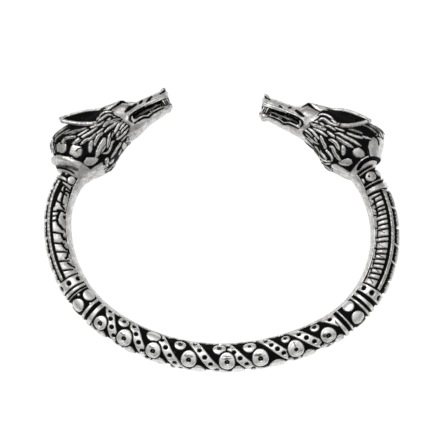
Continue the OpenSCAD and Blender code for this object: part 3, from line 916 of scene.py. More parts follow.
RIGHT_LOCKS = (
    (0.32, 5.95, 3.8, 5.5, 4.12, 4.9, 4.3, 4.0, 4.25, 3.1, 4.0),
    (0.36, 3.2, 3.68, 2.7, 3.58, 2.2, 3.4),
    (0.56, 5.55, 2.8, 5.2, 3.2, 4.7, 3.38, 4.0, 3.15, 3.0, 2.92, 2.1, 3.0),
    (0.32, 3.9, 2.15, 3.2, 2.27, 2.6, 2.15, 1.9, 2.0),
    (0.38, 5.0, 2.25, 4.3, 2.05),
    (0.28, 1.9, 2.45, 1.0, 2.4, 0.2, 2.45),
    (0.40, -0.8, 2.3, -2.4, 2.25, -3.8, 2.45),
    (0.30, -3.9, 2.8, -5.4, 2.85),
    (0.28, -0.8, 3.2, -2.0, 3.35, -3.4, 3.35),
    (0.50, 1.3, 1.42, 0.6, 1.6, 0.0, 1.5, -0.8, 1.35, -2.4, 1.2, -4.0, 0.85),
    (0.56, 1.1, 0.75, 0.15, 0.5, -0.6, 0.32, -1.5, 0.15, -2.6, -0.05),
    (0.56, 6.8, 1.45, 5.5, 1.4, 4.35, 1.4, 3.4, 1.3),
    (0.36, 3.3, 1.25, 2.75, 1.0, 2.0, 0.8, 1.3, 0.62),
    (0.36, 6.0, 0.72, 4.7, 0.57, 3.9, 0.43, 3.0, 0.2),
    (0.42, 6.9, 0.3, 5.85, 0.05, 5.1, -0.4, 4.2, -0.9),
    (0.30, 5.0, -1.05, 4.45, -1.5),
    (0.24, 7.4, -0.3, 6.5, -0.5, 5.7, -0.85),
    (0.28, 7.1, -0.85, 6.3, -1.2, 5.5, -1.6, 4.7, -1.9, 3.8, -2.0),
    (0.24, 6.7, -1.6, 5.85, -1.8, 5.0, -2.15),
    (0.52, 4.0, -0.3, 3.45, -0.9, 2.9, -1.45, 2.35, -1.95, 2.1, -2.5),
    (0.36, 2.2, -2.5, 1.7, -2.75, 1.0, -3.05, 0.2, -3.65, 0.0, -4.2),
    (0.62, 2.1, -0.35, 1.5, -0.25, 0.7, -0.45, 0.2, -0.85, -0.35, -1.35),
    (0.62, 1.4, -1.6, 0.9, -1.6, 0.5, -2.0, 0.1, -2.5, -0.5, -2.95, -1.3, -3.4),
    (0.44, 2.9, -3.1, 2.45, -3.6, 1.9, -3.9, 1.1, -4.35),
    (0.80, -0.9, -0.6, -1.25, -1.1, -1.5, -1.75),
    (0.30, 4.2, -2.7, 3.4, -3.1, 2.9, -3.6),
    (0.36, 2.6, -4.3, 1.6, -4.75, 0.4, -4.6),
    (0.30, 2.0, -5.1, 1.0, -5.3, 0.2, -5.0),
    (0.40, 1.0, -5.6, 0.3, -5.85, -0.5, -6.1),
    (0.36, -3.2, 5.0, -4.3, 5.0, -5.2, 4.8, -6.1, 4.4, -6.5, 3.8),
    (0.34, -4.4, 5.5, -5.7, 5.4, -7.0, 5.0, -7.8, 4.2),
)
# Locks over the crown and nape, between the ears: x of root and tip, angle from the top at each, width
CROWN_LOCKS = (
    (7.5, 0.0, 8.0, 8.0, 0.8),
    (4.5, -3.0, 3.0, 4.0, 0.9),
    (5.0, -2.0, 17.0, 16.0, 0.8),
    (1.5, -5.5, 6.0, 9.0, 0.9),
    (0.0, -6.5, 20.0, 22.0, 0.9),
    (-2.5, -7.4, 8.0, 14.0, 0.9),
    (-4.0, -7.2, 27.0, 32.0, 0.9),
)
# How a lock swells from its root to its tip
LOCK_SWELL = np.array([0.3, 0.75, 0.95, 1.0, 1.0, 1.0, 0.92, 0.7, 0.15])
# Distance between the points of a lock
LOCK_STEP = 0.3
# How far a lock goes on past its first and its last place
LOCK_ROOT, LOCK_TIP = 0.25, 0.3
# How high a lock may stand over the skull
LOCK_RISE = 0.38
LOCK_SEED = 11
# How many of the sections, from the nose back, the crown's locks are laid over
CROWN_ROWS = 15

# For each head:
# plates: outlines of the flat plates at the base of the mane
# bands: bands and grooves across it: place between the sections, how far the middle is bent forward, radius,
# whether it is cut
# cuts: dark lines on its side, and their radius
# shade_and_streaks: painted soft shade on its side, as under the collar's ridge, and thin dark streaks:
# points, radius, tone
# upper_rim, lower_rim, tip, upper_width: rims and tip of the ear, and radius of its upper rim
# nose, bridge, lip: place of the nose, height of its bridge, and how far the mouth is shifted up
# brow, slit: ridge of the brow and slit of the eye
# tone: how grey the head's bare silver is
# wrinkles: folds over the nose, and their radius
# fur: outline of the mane, where the ground between the locks is black
HEADS = {
    "head_left": {
        "at": LEFT_HEAD_AT, "slope": LEFT_SLOPE, "mirrored": False,
        "sections": LEFT_SECTIONS, "locks": LEFT_LOCKS,
        "plates": (
            ((-7.5, 2.75), (-6.7, 2.98), (-6.3, 2.6), (-5.6, 2.0), (-5.73, 1.47), (-6.2, 0.75), (-6.85, 0.47),
             (-7.67, 0.75), (-7.93, 1.5)),
            ((-5.1, 0.98), (-4.45, 1.25), (-3.9, 0.75), (-3.1, 0.02), (-3.2, -0.87), (-3.9, -1.65),
             (-5.0, -1.7), (-5.73, -1.1), (-5.95, -0.1)),
            ((-4.1, -3.2), (-3.1, -2.6), (-1.9, -3.2), (-1.0, -3.98), (-1.55, -4.4), (-2.67, -4.65),
             (-3.67, -4.3), (-4.15, -3.7)),
        ),
        "bands": ((2.4, 0.8, 0.7, False), (3.25, 1.1, 0.2, True), (0.8, 0.3, 0.16, True)),
        "cuts": (
            ((-7.1, 4.4), (-7.6, 3.2), (-8.05, 1.4), 0.13),
            ((-7.9, 3.6), (-8.3, 2.2), (-8.6, 0.7), 0.1),
            ((-3.25, -0.3), (-3.9, -0.1), (-4.5, -0.35), 0.06),
        ),
        "shade_and_streaks": (
            (((-7.6, 0.3), (-6.2, -0.3), (-4.9, -1.6)), 0.35, 0.2),
            (((-9.4, -1.5), (-8.0, -2.2), (-6.8, -3.1), (-6.0, -4.1)), 0.4, 0.62),
            (((-3.2, -2.8), (-2.4, -2.9)), 0.1, 0.4),
            (((-7.2, -6.1), (-5.4, -6.1), (-3.6, -6.4), (-1.6, -6.9)), 0.07, 0.42),
            (((-5.2, -5.3), (-3.6, -5.6), (-2.0, -5.9)), 0.07, 0.42),
            (((-7.6, -6.9), (-5.4, -6.8), (-3.4, -7.0)), 0.06, 0.38),
            (((2.6, -4.6), (4.6, -3.4), (6.4, -2.8)), 0.06, 0.3),
            (((8.8, 2.1), (11.4, 2.25), (15.0, 2.2)), 0.12, 0.34),
            (((7.0, 3.2), (8.0, 3.3), (8.8, 3.7)), 0.14, 0.34),
            (((5.6, -2.0), (7.4, -1.9), (9.4, -1.9)), 0.16, 0.36),
            (((4.6, -3.0), (6.4, -2.7), (8.4, -2.6)), 0.14, 0.34),
            (((9.8, -1.0), (12.0, -1.2), (14.6, -1.1)), 0.1, 0.26),
        ),
        "upper_rim": ((3.9, 5.3), (0.6, 6.75), (-3.3, 7.45)), "upper_width": 0.24,
        "lower_rim": ((1.7, 3.25), (-1.2, 4.6), (-4.2, 6.9)), "tip": (-4.3, 7.55),
        "nose": (17.3, 3.2), "bridge": 3.1, "lip": 0.0,
        "brow": ((4.6, 5.1), (6.4, 5.15), (8.0, 5.25), (8.8, 5.05)),
        "slit": ((5.6, 4.45), (7.2, 4.6), (8.5, 4.85), (9.35, 4.05)),
        "tone": 0.14,
        "wrinkles": (
            ((8.3, 2.5), (9.5, 2.85), (10.8, 3.05), 0.42),
            ((11.65, 2.75), (11.95, 2.95), (12.25, 3.15), 0.36),
            ((13.1, 2.45), (13.75, 2.7), (14.4, 3.0), 0.36),
        ),
        "fur": (
            (-8.3, 0.9), (-7.8, 3.0), (-7.4, 5.4), (-4, 6.4), (0, 8.5), (5.0, 5.2), (5.9, 4.3), (5.4, 2.9),
            (5.8, 2.1), (6.4, 1.2), (6.9, 0.3), (7.8, -0.6), (7.4, -1.2), (6.6, -1.9), (5.4, -2.9),
            (4.3, -3.9), (3.3, -4.9), (1.8, -6.2), (1.2, -7.9), (-0.8, -7.9), (0.0, -6.2), (-0.8, -5.0),
            (-3.5, -5.3), (-4.2, -3.7), (-5.7, -1.0), (-8.3, 0.3),
        ),
    },
    "head_right": {
        "at": RIGHT_HEAD_AT, "slope": RIGHT_SLOPE, "mirrored": True,
        "sections": RIGHT_SECTIONS, "locks": RIGHT_LOCKS,
        "plates": (
            ((-5.75, -0.8), (-5.3, -0.1), (-4.7, 0.2), (-4.0, 0.35), (-3.3, -0.2), (-3.05, -0.9), 
             (-3.5, -1.5), (-4.3, -1.75), (-5.2, -1.5)),
            ((-4.1, -3.2), (-3.55, -2.6), (-2.8, -2.55), (-2.0, -3.2), (-1.3, -4.1), (-1.8, -4.45),
             (-2.67, -4.3), (-3.55, -4.0)),
        ),
        "bands": ((1.1, 0.9, 0.34, False), (0.4, 0.8, 0.4, True)),
        "cuts": (
            ((-7.5, 2.4), (-7.1, 3.2), (-6.3, 3.75), 0.14),
            ((-7.9, 3.9), (-6.8, 3.95), (-6.1, 4.35), 0.1),
            ((-5.3, 2.6), (-5.5, 1.2), (-6.7, -0.6), 0.12),
        ),
        "shade_and_streaks": (
            (((-5.4, 1.2), (-4.6, 0.9)), 0.2, 0.4),
            (((-5.9, 0.6), (-5.4, 2.2)), 0.2, 0.3),
            (((-4.6, -5.3), (-2.6, -5.3), (-0.8, -5.4)), 0.07, 0.42),
            (((-5.2, -5.8), (-3.0, -5.8), (-0.8, -5.9)), 0.06, 0.38),
        ),
        "upper_rim": ((4.3, 5.55), (1.2, 6.7), (-2.9, 6.65)), "upper_width": 0.34,
        "lower_rim": ((1.6, 3.35), (-0.8, 4.1), (-3.6, 6.1)), "tip": (-4.0, 6.5),
        "nose": (17.5, 3.65), "bridge": 3.45, "lip": 0.1,
        "brow": ((4.6, 5.45), (6.4, 5.4), (8.0, 5.6), (8.9, 5.5)),
        "slit": ((6.1, 4.5), (7.6, 4.7), (8.9, 5.1), (9.7, 4.2)),
        "tone": 0.10,
        "wrinkles": (
            ((8.8, 2.3), (9.8, 2.6), (10.7, 3.0), 0.32),
            ((12.3, 2.9), (12.2, 3.05), (12.0, 3.2), 0.26),
            ((13.5, 2.45), (13.85, 2.55), (14.2, 2.65), 0.24),
        ),
        "fur": (
            (-6.6, -0.7), (-5.4, 1.2), (-5.2, 2.8), (-6.2, 3.7), (-6.4, 4.6), (-5.6, 6.0), (-4, 6.6),
            (0, 8.0), (5.6, 5.3), (6.1, 4.3), (5.5, 3.1), (5.6, 2.2), (6.3, 1.4), (6.9, 0.3), (7.8, -0.6),
            (7.6, -1.2), (5.5, -2.5), (3.2, -3.9), (1.6, -4.9), (1.0, -6.6), (-0.6, -6.6), (-0.2, -5.0),
            (-1.0, -4.6), (-4.3, -5.2), (-4.7, -3.8), (-5.2, -2.4), (-6.0, -1.5),
        ),
    },
}
# Size of the cells that a head is shaped on
HEAD_CELL, QUICK_CELL = 0.125, 0.2
# Distance that stands for far from any form, and how far to both sides of the surface the mesh is drawn from
FAR, NEAR_SURFACE = 9.0, 1.2
# Corners of the grid of cells
HEAD_LOW, HEAD_HIGH = (-10.6, -9.0, 0.0), (19.2, 8.6, 6.2)


class Clay:
    """One half of a head on a grid of cells: signed distance in millimetres, under 0 inside"""

    def __init__(self, low, high, cell, eye):
        self.low, self.cell, self.eye = np.array(low, dtype=np.float32), cell, eye
        sizes = [int(math.ceil((b - a) / cell)) + 1 for a, b in zip(low, high)]
        self.axes = [self.low[i] + cell * np.arange(n, dtype=np.float32) for i, n in enumerate(sizes)]
        self.d = np.full(sizes, FAR, dtype=np.float32)
        self.second = self.d.copy()
        self.added = self.d.copy()
        self.grooves = []
        self.marks = {}

    def window(self, points, reach):
        """Slices of the grid round these points, and the places of their cells"""
        points = np.asarray(points)
        spans = []
        for i in range(3):
            first = int(np.floor((points[:, i].min() - reach - self.low[i]) / self.cell))
            last = int(np.ceil((points[:, i].max() + reach - self.low[i]) / self.cell)) + 1
            spans.append(slice(max(first, 0), max(last, 0)))
        grid = np.meshgrid(*(self.axes[i][spans[i]] for i in range(3)), indexing="ij", sparse=True)
        return tuple(spans), grid

    def add(self, part, points, reach, blend, crease=True, mark=None):
        """Join a form to the clay, with a fillet of about the size of blend.
        A crease stays black; the second distance keeps how far the next form is.
        A mark keeps the distance from the forms that have it."""
        spans, grid = self.window(points, reach + blend)
        mine, other = self.d[spans], part(*grid)
        if crease:
            self.second[spans] = np.minimum(self.second[spans], np.maximum(mine, other))
        self.added[spans] = np.minimum(self.added[spans], other)
        if mark:
            field = self.marks.setdefault(mark, np.full(self.d.shape, FAR, dtype=np.float32))
            field[spans] = np.minimum(field[spans], other)
        lap = np.maximum(blend - np.abs(mine - other), 0.0)
        self.d[spans] = np.minimum(mine, other) - lap * lap / (4 * blend)

    def cut(self, part, points, reach, blend):
        """Take a form out of the clay"""
        spans, grid = self.window(points, reach + blend)
        mine, other = self.d[spans], -part(*grid)
        lap = np.maximum(blend - np.abs(mine - other), 0.0)
        self.d[spans] = np.maximum(mine, other) + lap * lap / (4 * blend)

    def strand(self, points, radii, blend, crease=True, mark=None):
        """A round strand through points, whose radius changes from point to point"""
        points = np.asarray(points, dtype=np.float32)

        def part(x, y, z):
            return strand_distance(x, y, z, points, radii)

        self.add(part, points, max(radii) + 0.6, blend, crease, mark)

    def groove(self, points, radii, blend=0.06, black=0.06):
        """A round groove through points, black as far as black outside it"""
        points = np.asarray(points, dtype=np.float32)
        self.cut(lambda x, y, z: strand_distance(x, y, z, points, radii), points, max(radii) + 0.4, blend)
        self.grooves.append((points, np.asarray(radii) + black))

    def egg(self, centre, half, turn, blend, crease=True, mark=None):
        """An ellipsoid, turned about z by so many degrees"""
        c, s = math.cos(math.radians(turn)), math.sin(math.radians(turn))

        def part(x, y, z):
            dx, dy, dz = x - centre[0], y - centre[1], z - centre[2]
            u, v, w = (c * dx + s * dy) / half[0], (c * dy - s * dx) / half[1], dz / half[2]
            share = np.sqrt(u * u + v * v + w * w)
            slope = np.sqrt((u / half[0]) ** 2 + (v / half[1]) ** 2 + (w / half[2]) ** 2)
            return (share - 1.0) / np.maximum(slope / np.maximum(share, 1e-6), 1e-6)

        self.add(part, [centre], max(half) + 0.5, blend, crease, mark)

    def plate(self, outline):
        """A flat plate in a shallow recess, with its outline given as seen"""
        corners = np.array([self.on(x, y) for x, y in outline])
        middle = corners.mean(axis=0)
        slopes = np.column_stack((corners[:, :2] - middle[:2], np.ones(len(corners))))
        slope_x, slope_y, level = np.linalg.lstsq(slopes, corners[:, 2], rcond=None)[0]
        lengthen = math.sqrt(1.0 + slope_x ** 2 + slope_y ** 2)
        flat = tuple(map(tuple, corners[:, :2]))

        def over(x, y, z):
            return (z - level - slope_x * (x - middle[0]) - slope_y * (y - middle[1])) / lengthen

        def recess(x, y, z):
            return np.maximum(-inside_outline(x + 0 * y, y + 0 * x, flat) - 0.4, -0.22 - over(x, y, z))

        def slab(x, y, z):
            inside = inside_outline(x + 0 * y, y + 0 * x, flat)
            out, up = 0.25 - inside, over(x, y, z) - 0.1 * smooth(inside / 1.2)
            outside = np.hypot(np.maximum(out, 0.0), np.maximum(up, 0.0))
            return outside + np.minimum(np.maximum(out, up), 0.0) - 0.25

        self.cut(recess, corners, 0.8, 0.1)
        self.add(slab, corners, 0.6, 0.05, mark="plate")

    def side(self, x, y):
        """How far the clay stands out from the middle plane at x, y"""
        i = (x - self.low[0]) / self.cell
        j = (y - self.low[1]) / self.cell
        i0, j0 = int(i), int(j)
        fi, fj = i - i0, j - j0
        column = ((1 - fi) * (1 - fj) * self.d[i0, j0] + fi * (1 - fj) * self.d[i0 + 1, j0]
                  + (1 - fi) * fj * self.d[i0, j0 + 1] + fi * fj * self.d[i0 + 1, j0 + 1])
        inside = np.nonzero(column < 0)[0]
        if len(inside) == 0:
            return 0.0
        k = inside[-1]
        if k + 1 >= len(column):
            return float(self.axes[2][k])
        return float(self.axes[2][k] + self.cell * column[k] / (column[k] - column[k + 1]))

    def under(self, x, y, z):
        """Place at the height z that the eye sees at x, y of the middle plane"""
        share = z / self.eye[2]
        return x + (self.eye[0] - x) * share, y + (self.eye[1] - y) * share, z

    def on(self, x, y, rise=0.0):
        """Place on the clay's side that the eye sees at x, y of the middle plane"""
        z = 0.0
        for _ in range(8):
            px, py, _ = self.under(x, y, z)
            z = 0.4 * z + 0.6 * self.side(px, py)
        px, py, _ = self.under(x, y, z)
        return px, py, max(z + rise, 0.0)

    def seen(self, x, y, z):
        """Where the eye sees points on the middle plane"""
        share = z / self.eye[2]
        return (x - self.eye[0] * share) / (1 - share), (y - self.eye[1] * share) / (1 - share)


def whole(field):
    """A field of one half, on both sides of the middle plane"""
    return np.concatenate((field[:, :, :0:-1], field), axis=2)


def strand_distance(x, y, z, points, radii):
    """Distance outside a round strand through points, under 0 inside it"""
    best = None
    for i in range(len(points) - 1):
        a, b = points[i], points[i + 1]
        run = b - a
        size = max(float(run @ run), 1e-9)
        t = np.clip(((x - a[0]) * run[0] + (y - a[1]) * run[1] + (z - a[2]) * run[2]) / size, 0.0, 1.0)
        off_x, off_y, off_z = x - a[0] - t * run[0], y - a[1] - t * run[1], z - a[2] - t * run[2]
        d = np.sqrt(off_x ** 2 + off_y ** 2 + off_z ** 2)
        d = d - (radii[i] + t * (radii[i + 1] - radii[i]))
        best = d if best is None else np.minimum(best, d)
    return best


def inside_outline(x, y, outline):
    """Distance inside a closed outline, under 0 outside it"""
    best, inner = None, np.zeros(np.shape(x + y), dtype=bool)
    for (ax, ay), (bx, by) in zip(outline, outline[1:] + outline[:1]):
        rx, ry = bx - ax, by - ay
        t = np.clip(((x - ax) * rx + (y - ay) * ry) / (rx * rx + ry * ry), 0.0, 1.0)
        d = np.hypot(x - ax - t * rx, y - ay - t * ry)
        best = d if best is None else np.minimum(best, d)
        crosses = (y < by) != (y < ay)
        if ay != by:
            inner ^= crosses & (x < ax + (y - ay) / (by - ay) * rx)
    return np.where(inner, best, -best)


def bezier(points, count):
    """Points of the curve that starts and ends at the outer points and passes through the middle one"""
    p0, p1, p2 = (np.array(p, dtype=float) for p in points)
    drawn = 2 * p1 - (p0 + p2) / 2
    t = np.linspace(0, 1, count)[:, None]
    return (1 - t) ** 2 * p0 + 2 * t * (1 - t) * drawn + t * t * p2


def catmull(rows, u):
    """Row of a table at the place u between its rows, on a smooth curve"""
    i = int(min(max(math.floor(u), 0), len(rows) - 2))
    t = u - i
    p1, p2 = rows[i], rows[i + 1]
    p0 = rows[max(i - 1, 0)]
    p3 = rows[min(i + 2, len(rows) - 1)]
    square = (2 * p0 - 5 * p1 + 4 * p2 - p3) * t * t
    return 0.5 * (2 * p1 + (p2 - p0) * t + square + (3 * p1 - p0 - 3 * p2 + p3) * t ** 3)


def section_point(row, angle, out=0.0):
    """Point of a cross-section at an angle from its top: 90 is the side, 180 the underside"""
    x0, y0, x1, y1, share = row
    c, s = math.cos(math.radians(angle)), math.sin(math.radians(angle))
    grown = 1.0 + 2 * out / math.hypot(x0 - x1, y0 - y1)
    flank = math.copysign(abs(s) ** 0.82, s)
    return ((x0 + x1) / 2 + (x0 - x1) / 2 * c * grown, (y0 + y1) / 2 + (y0 - y1) / 2 * c * grown,
            (share * MANE_HALF + out) * flank)


def lofted(sections, cell, low, shape):
    """Signed distance of the smooth loft through cross-sections, on one half of the grid"""
    rows = [np.array(row) for row in sections]
    per_row, sides = 5, 64
    places = np.linspace(0, len(rows) - 1, (len(rows) - 1) * per_row + 1)
    points = [section_point(catmull(rows, u), 360.0 * i / sides) for u in places for i in range(sides)]
    points += [tuple(np.mean(end, axis=0)) for end in (points[:sides], points[-sides:])]
    quads, fans = tube_faces(len(places), sides)
    grid = vdb.FloatGrid.createLevelSetFromPolygons(
        (np.array(points, dtype=np.float32) - low) / cell, triangles=np.array(fans, dtype=np.uint32),
        quads=quads.astype(np.uint32), transform=vdb.createLinearTransform(voxelSize=1.0), halfWidth=12.0)
    field = np.zeros(shape, dtype=np.float32)
    grid.copyToArray(field, ijk=(0, 0, 0))
    return field * cell


def side_locks(clay, form):
    """Locks of a head's side: their strands, low ground beside each, and the widest ones' engraved lines"""
    rng = np.random.default_rng(LOCK_SEED)
    laid, low, engraved = [], [], []
    for width, *numbers in form["locks"]:
        places = np.array(numbers).reshape(-1, 2)
        first, last = places[0] - places[1], places[-1] - places[-2]
        root = places[0] + first / np.hypot(*first) * LOCK_ROOT
        tip = places[-1] + last / np.hypot(*last) * (LOCK_TIP + 0.4 * width)
        flat = rounded_line(np.vstack((root, places, tip)))
        run = np.gradient(np.array(flat), axis=0)
        across = np.column_stack((-run[:, 1], run[:, 0])) / np.maximum(np.hypot(*run.T), 1e-6)[:, None]
        for side in (-1.0, 1.0):
            beside = np.array(flat) + side * across * (width / 2 + rng.uniform(0.16, 0.26))
            low.append([clay.on(x, y, -0.03) for x, y in beside[1:-1]])
        swell = np.interp(np.linspace(0, 1, len(flat)), np.linspace(0, 1, len(LOCK_SWELL)), LOCK_SWELL)
        radii = (math.hypot(width / 2, 0.12) + 0.05) * swell * rng.uniform(0.93, 1.07, len(flat))
        rise = min(0.06, LOCK_RISE - float(radii.max()))
        laid.append(([clay.on(x, y, rise) for x, y in flat], radii))
        if width > 0.5 and len(flat) > 5:
            engraved.append((flat[2:-3], 0.2 * width * rng.uniform(-1, 1)))
    return laid, low, engraved


def crown_locks(form):
    """Strands of the locks over the crown and nape"""
    rows = [np.array(row) for row in form["sections"]]
    tops = [row[0] for row in rows][-CROWN_ROWS:]
    laid = []
    for x0, x1, a0, a1, width in CROWN_LOCKS:
        points = []
        for t in np.linspace(0, 1, len(LOCK_SWELL)):
            place = len(rows) - CROWN_ROWS + float(np.interp(x0 + (x1 - x0) * t, tops, range(CROWN_ROWS)))
            points.append(section_point(catmull(rows, place), a0 + (a1 - a0) * t, 0.05))
        laid.append((points, 0.4 * width * np.maximum(LOCK_SWELL, 0.5)))
    return laid


def mane(clay, form):
    """Flat plates, locks, bands and dark lines, laid on the bare skull"""
    laid, low, engraved = side_locks(clay, form)
    for outline in form["plates"]:
        clay.plate(outline)
    for points in low:
        radii = np.interp(np.linspace(0, 1, len(points)), (0.0, 0.3, 0.7, 1.0), (0.05, 0.11, 0.11, 0.05))
        clay.strand(points, radii, 0.03, mark="low")
    for points, radii in laid + crown_locks(form):
        clay.strand(points, radii, 0.05, mark="lock")
    for flat, off in engraved:
        clay.groove([clay.on(x, y + off) for x, y in flat], [0.05] * len(flat), black=0.0)
    for row, bulge, r, cut in form["bands"]:
        line = across_head(clay, form, row, bulge)
        if cut:
            clay.groove(line, [r] * len(line))
        else:
            sunk = [(x, y, max(z - (r - 0.16), 0.0)) for x, y, z in line]
            clay.strand(sunk, [r] * len(line), 0.2, crease=False)
    for *line, r in form["cuts"]:
        clay.groove([clay.on(x, y) for x, y in line], [r] * len(line))


def rounded_line(points):
    """Places about a lock's step apart on a smooth curve through the points"""
    rows = list(points)
    reach = np.concatenate(([0.0], np.cumsum(np.hypot(*np.diff(points, axis=0).T))))
    steps = np.linspace(0, reach[-1], max(int(reach[-1] / LOCK_STEP), 3) + 1)
    return [catmull(rows, float(np.interp(at, reach, range(len(rows))))) for at in steps]


def across_head(clay, form, row, bulge):
    """Line over a head's side, from top to underside. Its middle lies further to the front by bulge."""
    values = catmull([np.array(section) for section in form["sections"]], row)
    dx, dy = values[0] - values[2], values[1] - values[3]
    size = math.hypot(dx, dy)
    line = []
    for angle in np.arange(0, 121, 7.5):
        x, y, z = section_point(values, angle)
        shift = bulge * math.sin(math.radians(angle)) ** 2
        x, y = x + dy / size * shift, y - dx / size * shift
        fade = max(angle - 100.0, 0.0) / 20.0
        line.append((x, y, max(clay.side(x, y), z if z < 1.5 else 0.0) - 0.5 * fade))
    return line


def brow_and_eye(clay, form):
    """Brow ridge over the round of the eye"""
    x, y, z = clay.on(7.8, 3.15)
    clay.egg((x, y, z - 0.85), (2.1, 1.35, 1.0), -8.0, 0.5, crease=False, mark="eye")
    ridge = [clay.under(x, y - 0.4, z) for (x, y), z in zip(form["brow"], (3.1, 2.9, 2.4, 1.9))]
    clay.strand(ridge, [0.3, 0.45, 0.5, 0.35], 0.3, crease=False)
    clay.strand([(7.0, 4.7, 0.0), (9.3, 3.9, 0.0), (10.8, 3.1, 0.0)], [0.6, 0.5, 0.4], 0.5, crease=False)
    clay.groove([clay.on(x, y) for x, y in form["slit"]], [0.08, 0.15, 0.33, 0.24])
    clay.groove([clay.on(x, y) for x, y in ((5.7, 3.6), (5.9, 2.9), (6.4, 2.3))], [0.1, 0.13, 0.06])


def muzzle(clay, form):
    """Nose knob, nostril and wrinkles"""
    x, y = form["nose"]
    bridge = [(12.0, form["bridge"] - 0.4, 0.0), (16.2, form["bridge"] - 0.45, 0.0)]
    knob = [clay.under(x - 0.6, y - 0.45, 0.4), clay.under(x, y - 0.15, 0.5)]
    knob.append(clay.under(x + 0.2, y - 0.05, 0.5))
    front = [clay.under(x - 0.2, y - 1.1, 0.7), clay.under(x + 0.15, y - 1.0, 0.6)]
    clay.strand(bridge, [0.45, 0.4], 0.4, crease=False)
    clay.strand(knob, [0.4, 0.45, 0.36], 0.15, crease=False)
    clay.strand(front, [0.6, 0.42], 0.25, crease=False)
    nostril = ((-1.0, -0.55), (-0.4, -0.5), (0.15, -0.45), (0.4, -0.9))
    clay.groove([clay.on(x + dx, y + dy) for dx, dy in nostril], [0.12, 0.2, 0.22, 0.12])
    for *line, r in form["wrinkles"]:
        clay.groove([clay.on(*place, 0.12) for place in line], [r * 0.6, r, r * 0.9], 0.12, black=0.03)


# Outline of the open mouth along its upper and its lower lip
UPPER_LIP = ((9.0, 0.35), (9.35, 0.9), (10.5, 1.12), (12.0, 1.35), (13.0, 1.45), (15.8, 1.32), (18.6, 1.3))
LOWER_LIP = ((18.6, 0.0), (16.0, 0.05), (15.0, 0.15), (13.4, 0.12), (12.0, -0.18), (11.0, 0.1), (9.4, 0.0))
# How far the lips stand out from the middle plane
MUZZLE_SIDE = 2.3
# Places of the lower teeth, and places and radii of the fangs
LOW_TEETH = (12.9, 13.3, 15.2)
FANGS = ((16.15, 0.19), (16.6, 0.13), (17.0, 0.2))
# Rolls of the lips and cheek: points, radius, rise over the clay
LIP_ROLLS = (
    (((9.0, -0.25), (10.2, -0.05), (11.1, 0.0), (12.0, -0.38), (13.2, -0.05), (14.4, 0.0), (15.6, -0.1)),
     0.17, 0.02),
    (((9.0, 0.1), (8.9, 0.6), (9.4, 1.1), (10.5, 1.32), (11.8, 1.45)), 0.14, 0.02),
    (((17.3, 1.75), (15.0, 1.9), (13.0, 1.95), (11.4, 1.85), (9.6, 1.8), (8.4, 1.45), (7.75, 0.7),
      (7.9, -0.1), (8.5, -0.6)), 0.22, 0.03),
    (((9.5, -1.0), (11.5, -0.95), (12.1, -1.15), (13.5, -0.85), (15.5, -0.8)), 0.12, 0.02),
)
# Dark lines beside them: points, radii
LIP_LINES = (
    (((8.5, -0.1), (8.35, 0.6), (8.9, 1.3), (10.0, 1.56), (11.4, 1.62), (12.2, 1.66)),
     (0.1, 0.16, 0.17, 0.15, 0.12, 0.07)),
    (((8.8, -0.6), (10.0, -0.46), (11.1, -0.45), (12.0, -0.82), (13.2, -0.48), (14.4, -0.42), (15.6, -0.45)),
     (0.1, 0.17, 0.17, 0.18, 0.15, 0.15, 0.1)),
)
# Middle line of the tongue, and its radii
TONGUE = ((9.4, -0.1), (10.4, 0.15), (11.4, -0.05), (12.4, 0.1), (13.4, -0.1), (14.4, 0.1), (15.4, 0.0))
TONGUE_RADII = (0.2, 0.28, 0.3, 0.26, 0.3, 0.24, 0.12)
# Half the width of what the mouth leaves standing in the middle
TONGUE_HALF = 0.8


def mouth(clay, form):
    """Open mouth, lips, fangs and teeth"""
    up = form["lip"]
    outline = tuple(clay.under(x, y + up, MUZZLE_SIDE)[:2] for x, y in UPPER_LIP + LOWER_LIP)
    front = clay.under(15.8, 0.5, MUZZLE_SIDE)[0]

    def gap(x, y, z):
        flat = inside_outline(x + 0 * y, y + 0 * x, outline)
        return np.maximum(-flat, np.where(x > front, 0.0, TONGUE_HALF) - z)

    for flat, r, rise in LIP_ROLLS:
        clay.strand([clay.on(x, y + up, rise) for x, y in flat], [r] * len(flat), 0.08, crease=False)
    for flat, radii in LIP_LINES:
        clay.groove([clay.on(x, y + up) for x, y in flat], radii)
    fang_at = [max(clay.on(x, 1.75 + up)[2] - 0.3, 0.9) for x, _ in FANGS]
    clay.cut(gap, [(outline[0][0], outline[-1][1] - 0.3, 0.0), (18.8, outline[4][1] + 0.2, 3.5)], 0.3, 0.1)
    tongue = [clay.under(x, 0.55 + up + rise, TONGUE_HALF + 0.3) for x, rise in TONGUE]
    clay.strand(tongue, TONGUE_RADII, 0.05, crease=False, mark="tongue")
    for (x, r), z in zip(FANGS, fang_at):
        fang = [clay.under(x + dx, y + up, z) for dx, y in ((-0.05, 1.5), (0.05, 0.8), (0.1, 0.0))]
        clay.strand(fang, [r, r * 0.9, r * 0.5], 0.05, crease=False)
    for x in LOW_TEETH:
        clay.strand([clay.under(x, y + up, 1.9) for y in (0.0, 0.42)], [0.16, 0.07], 0.03, crease=False)
    chin = [clay.under(x, y + up, z) for x, y, z in ((16.3, -0.75, 0.6), (17.0, -0.45, 0.5))]
    clay.strand(chin, [0.75, 0.5], 0.3, crease=False)
    form["gap"] = gap


# Steps along the ear, and radii of its tip
EAR_STEPS = 22
EAR_TIP_WIDTH = (0.28, 0.4, 0.38)


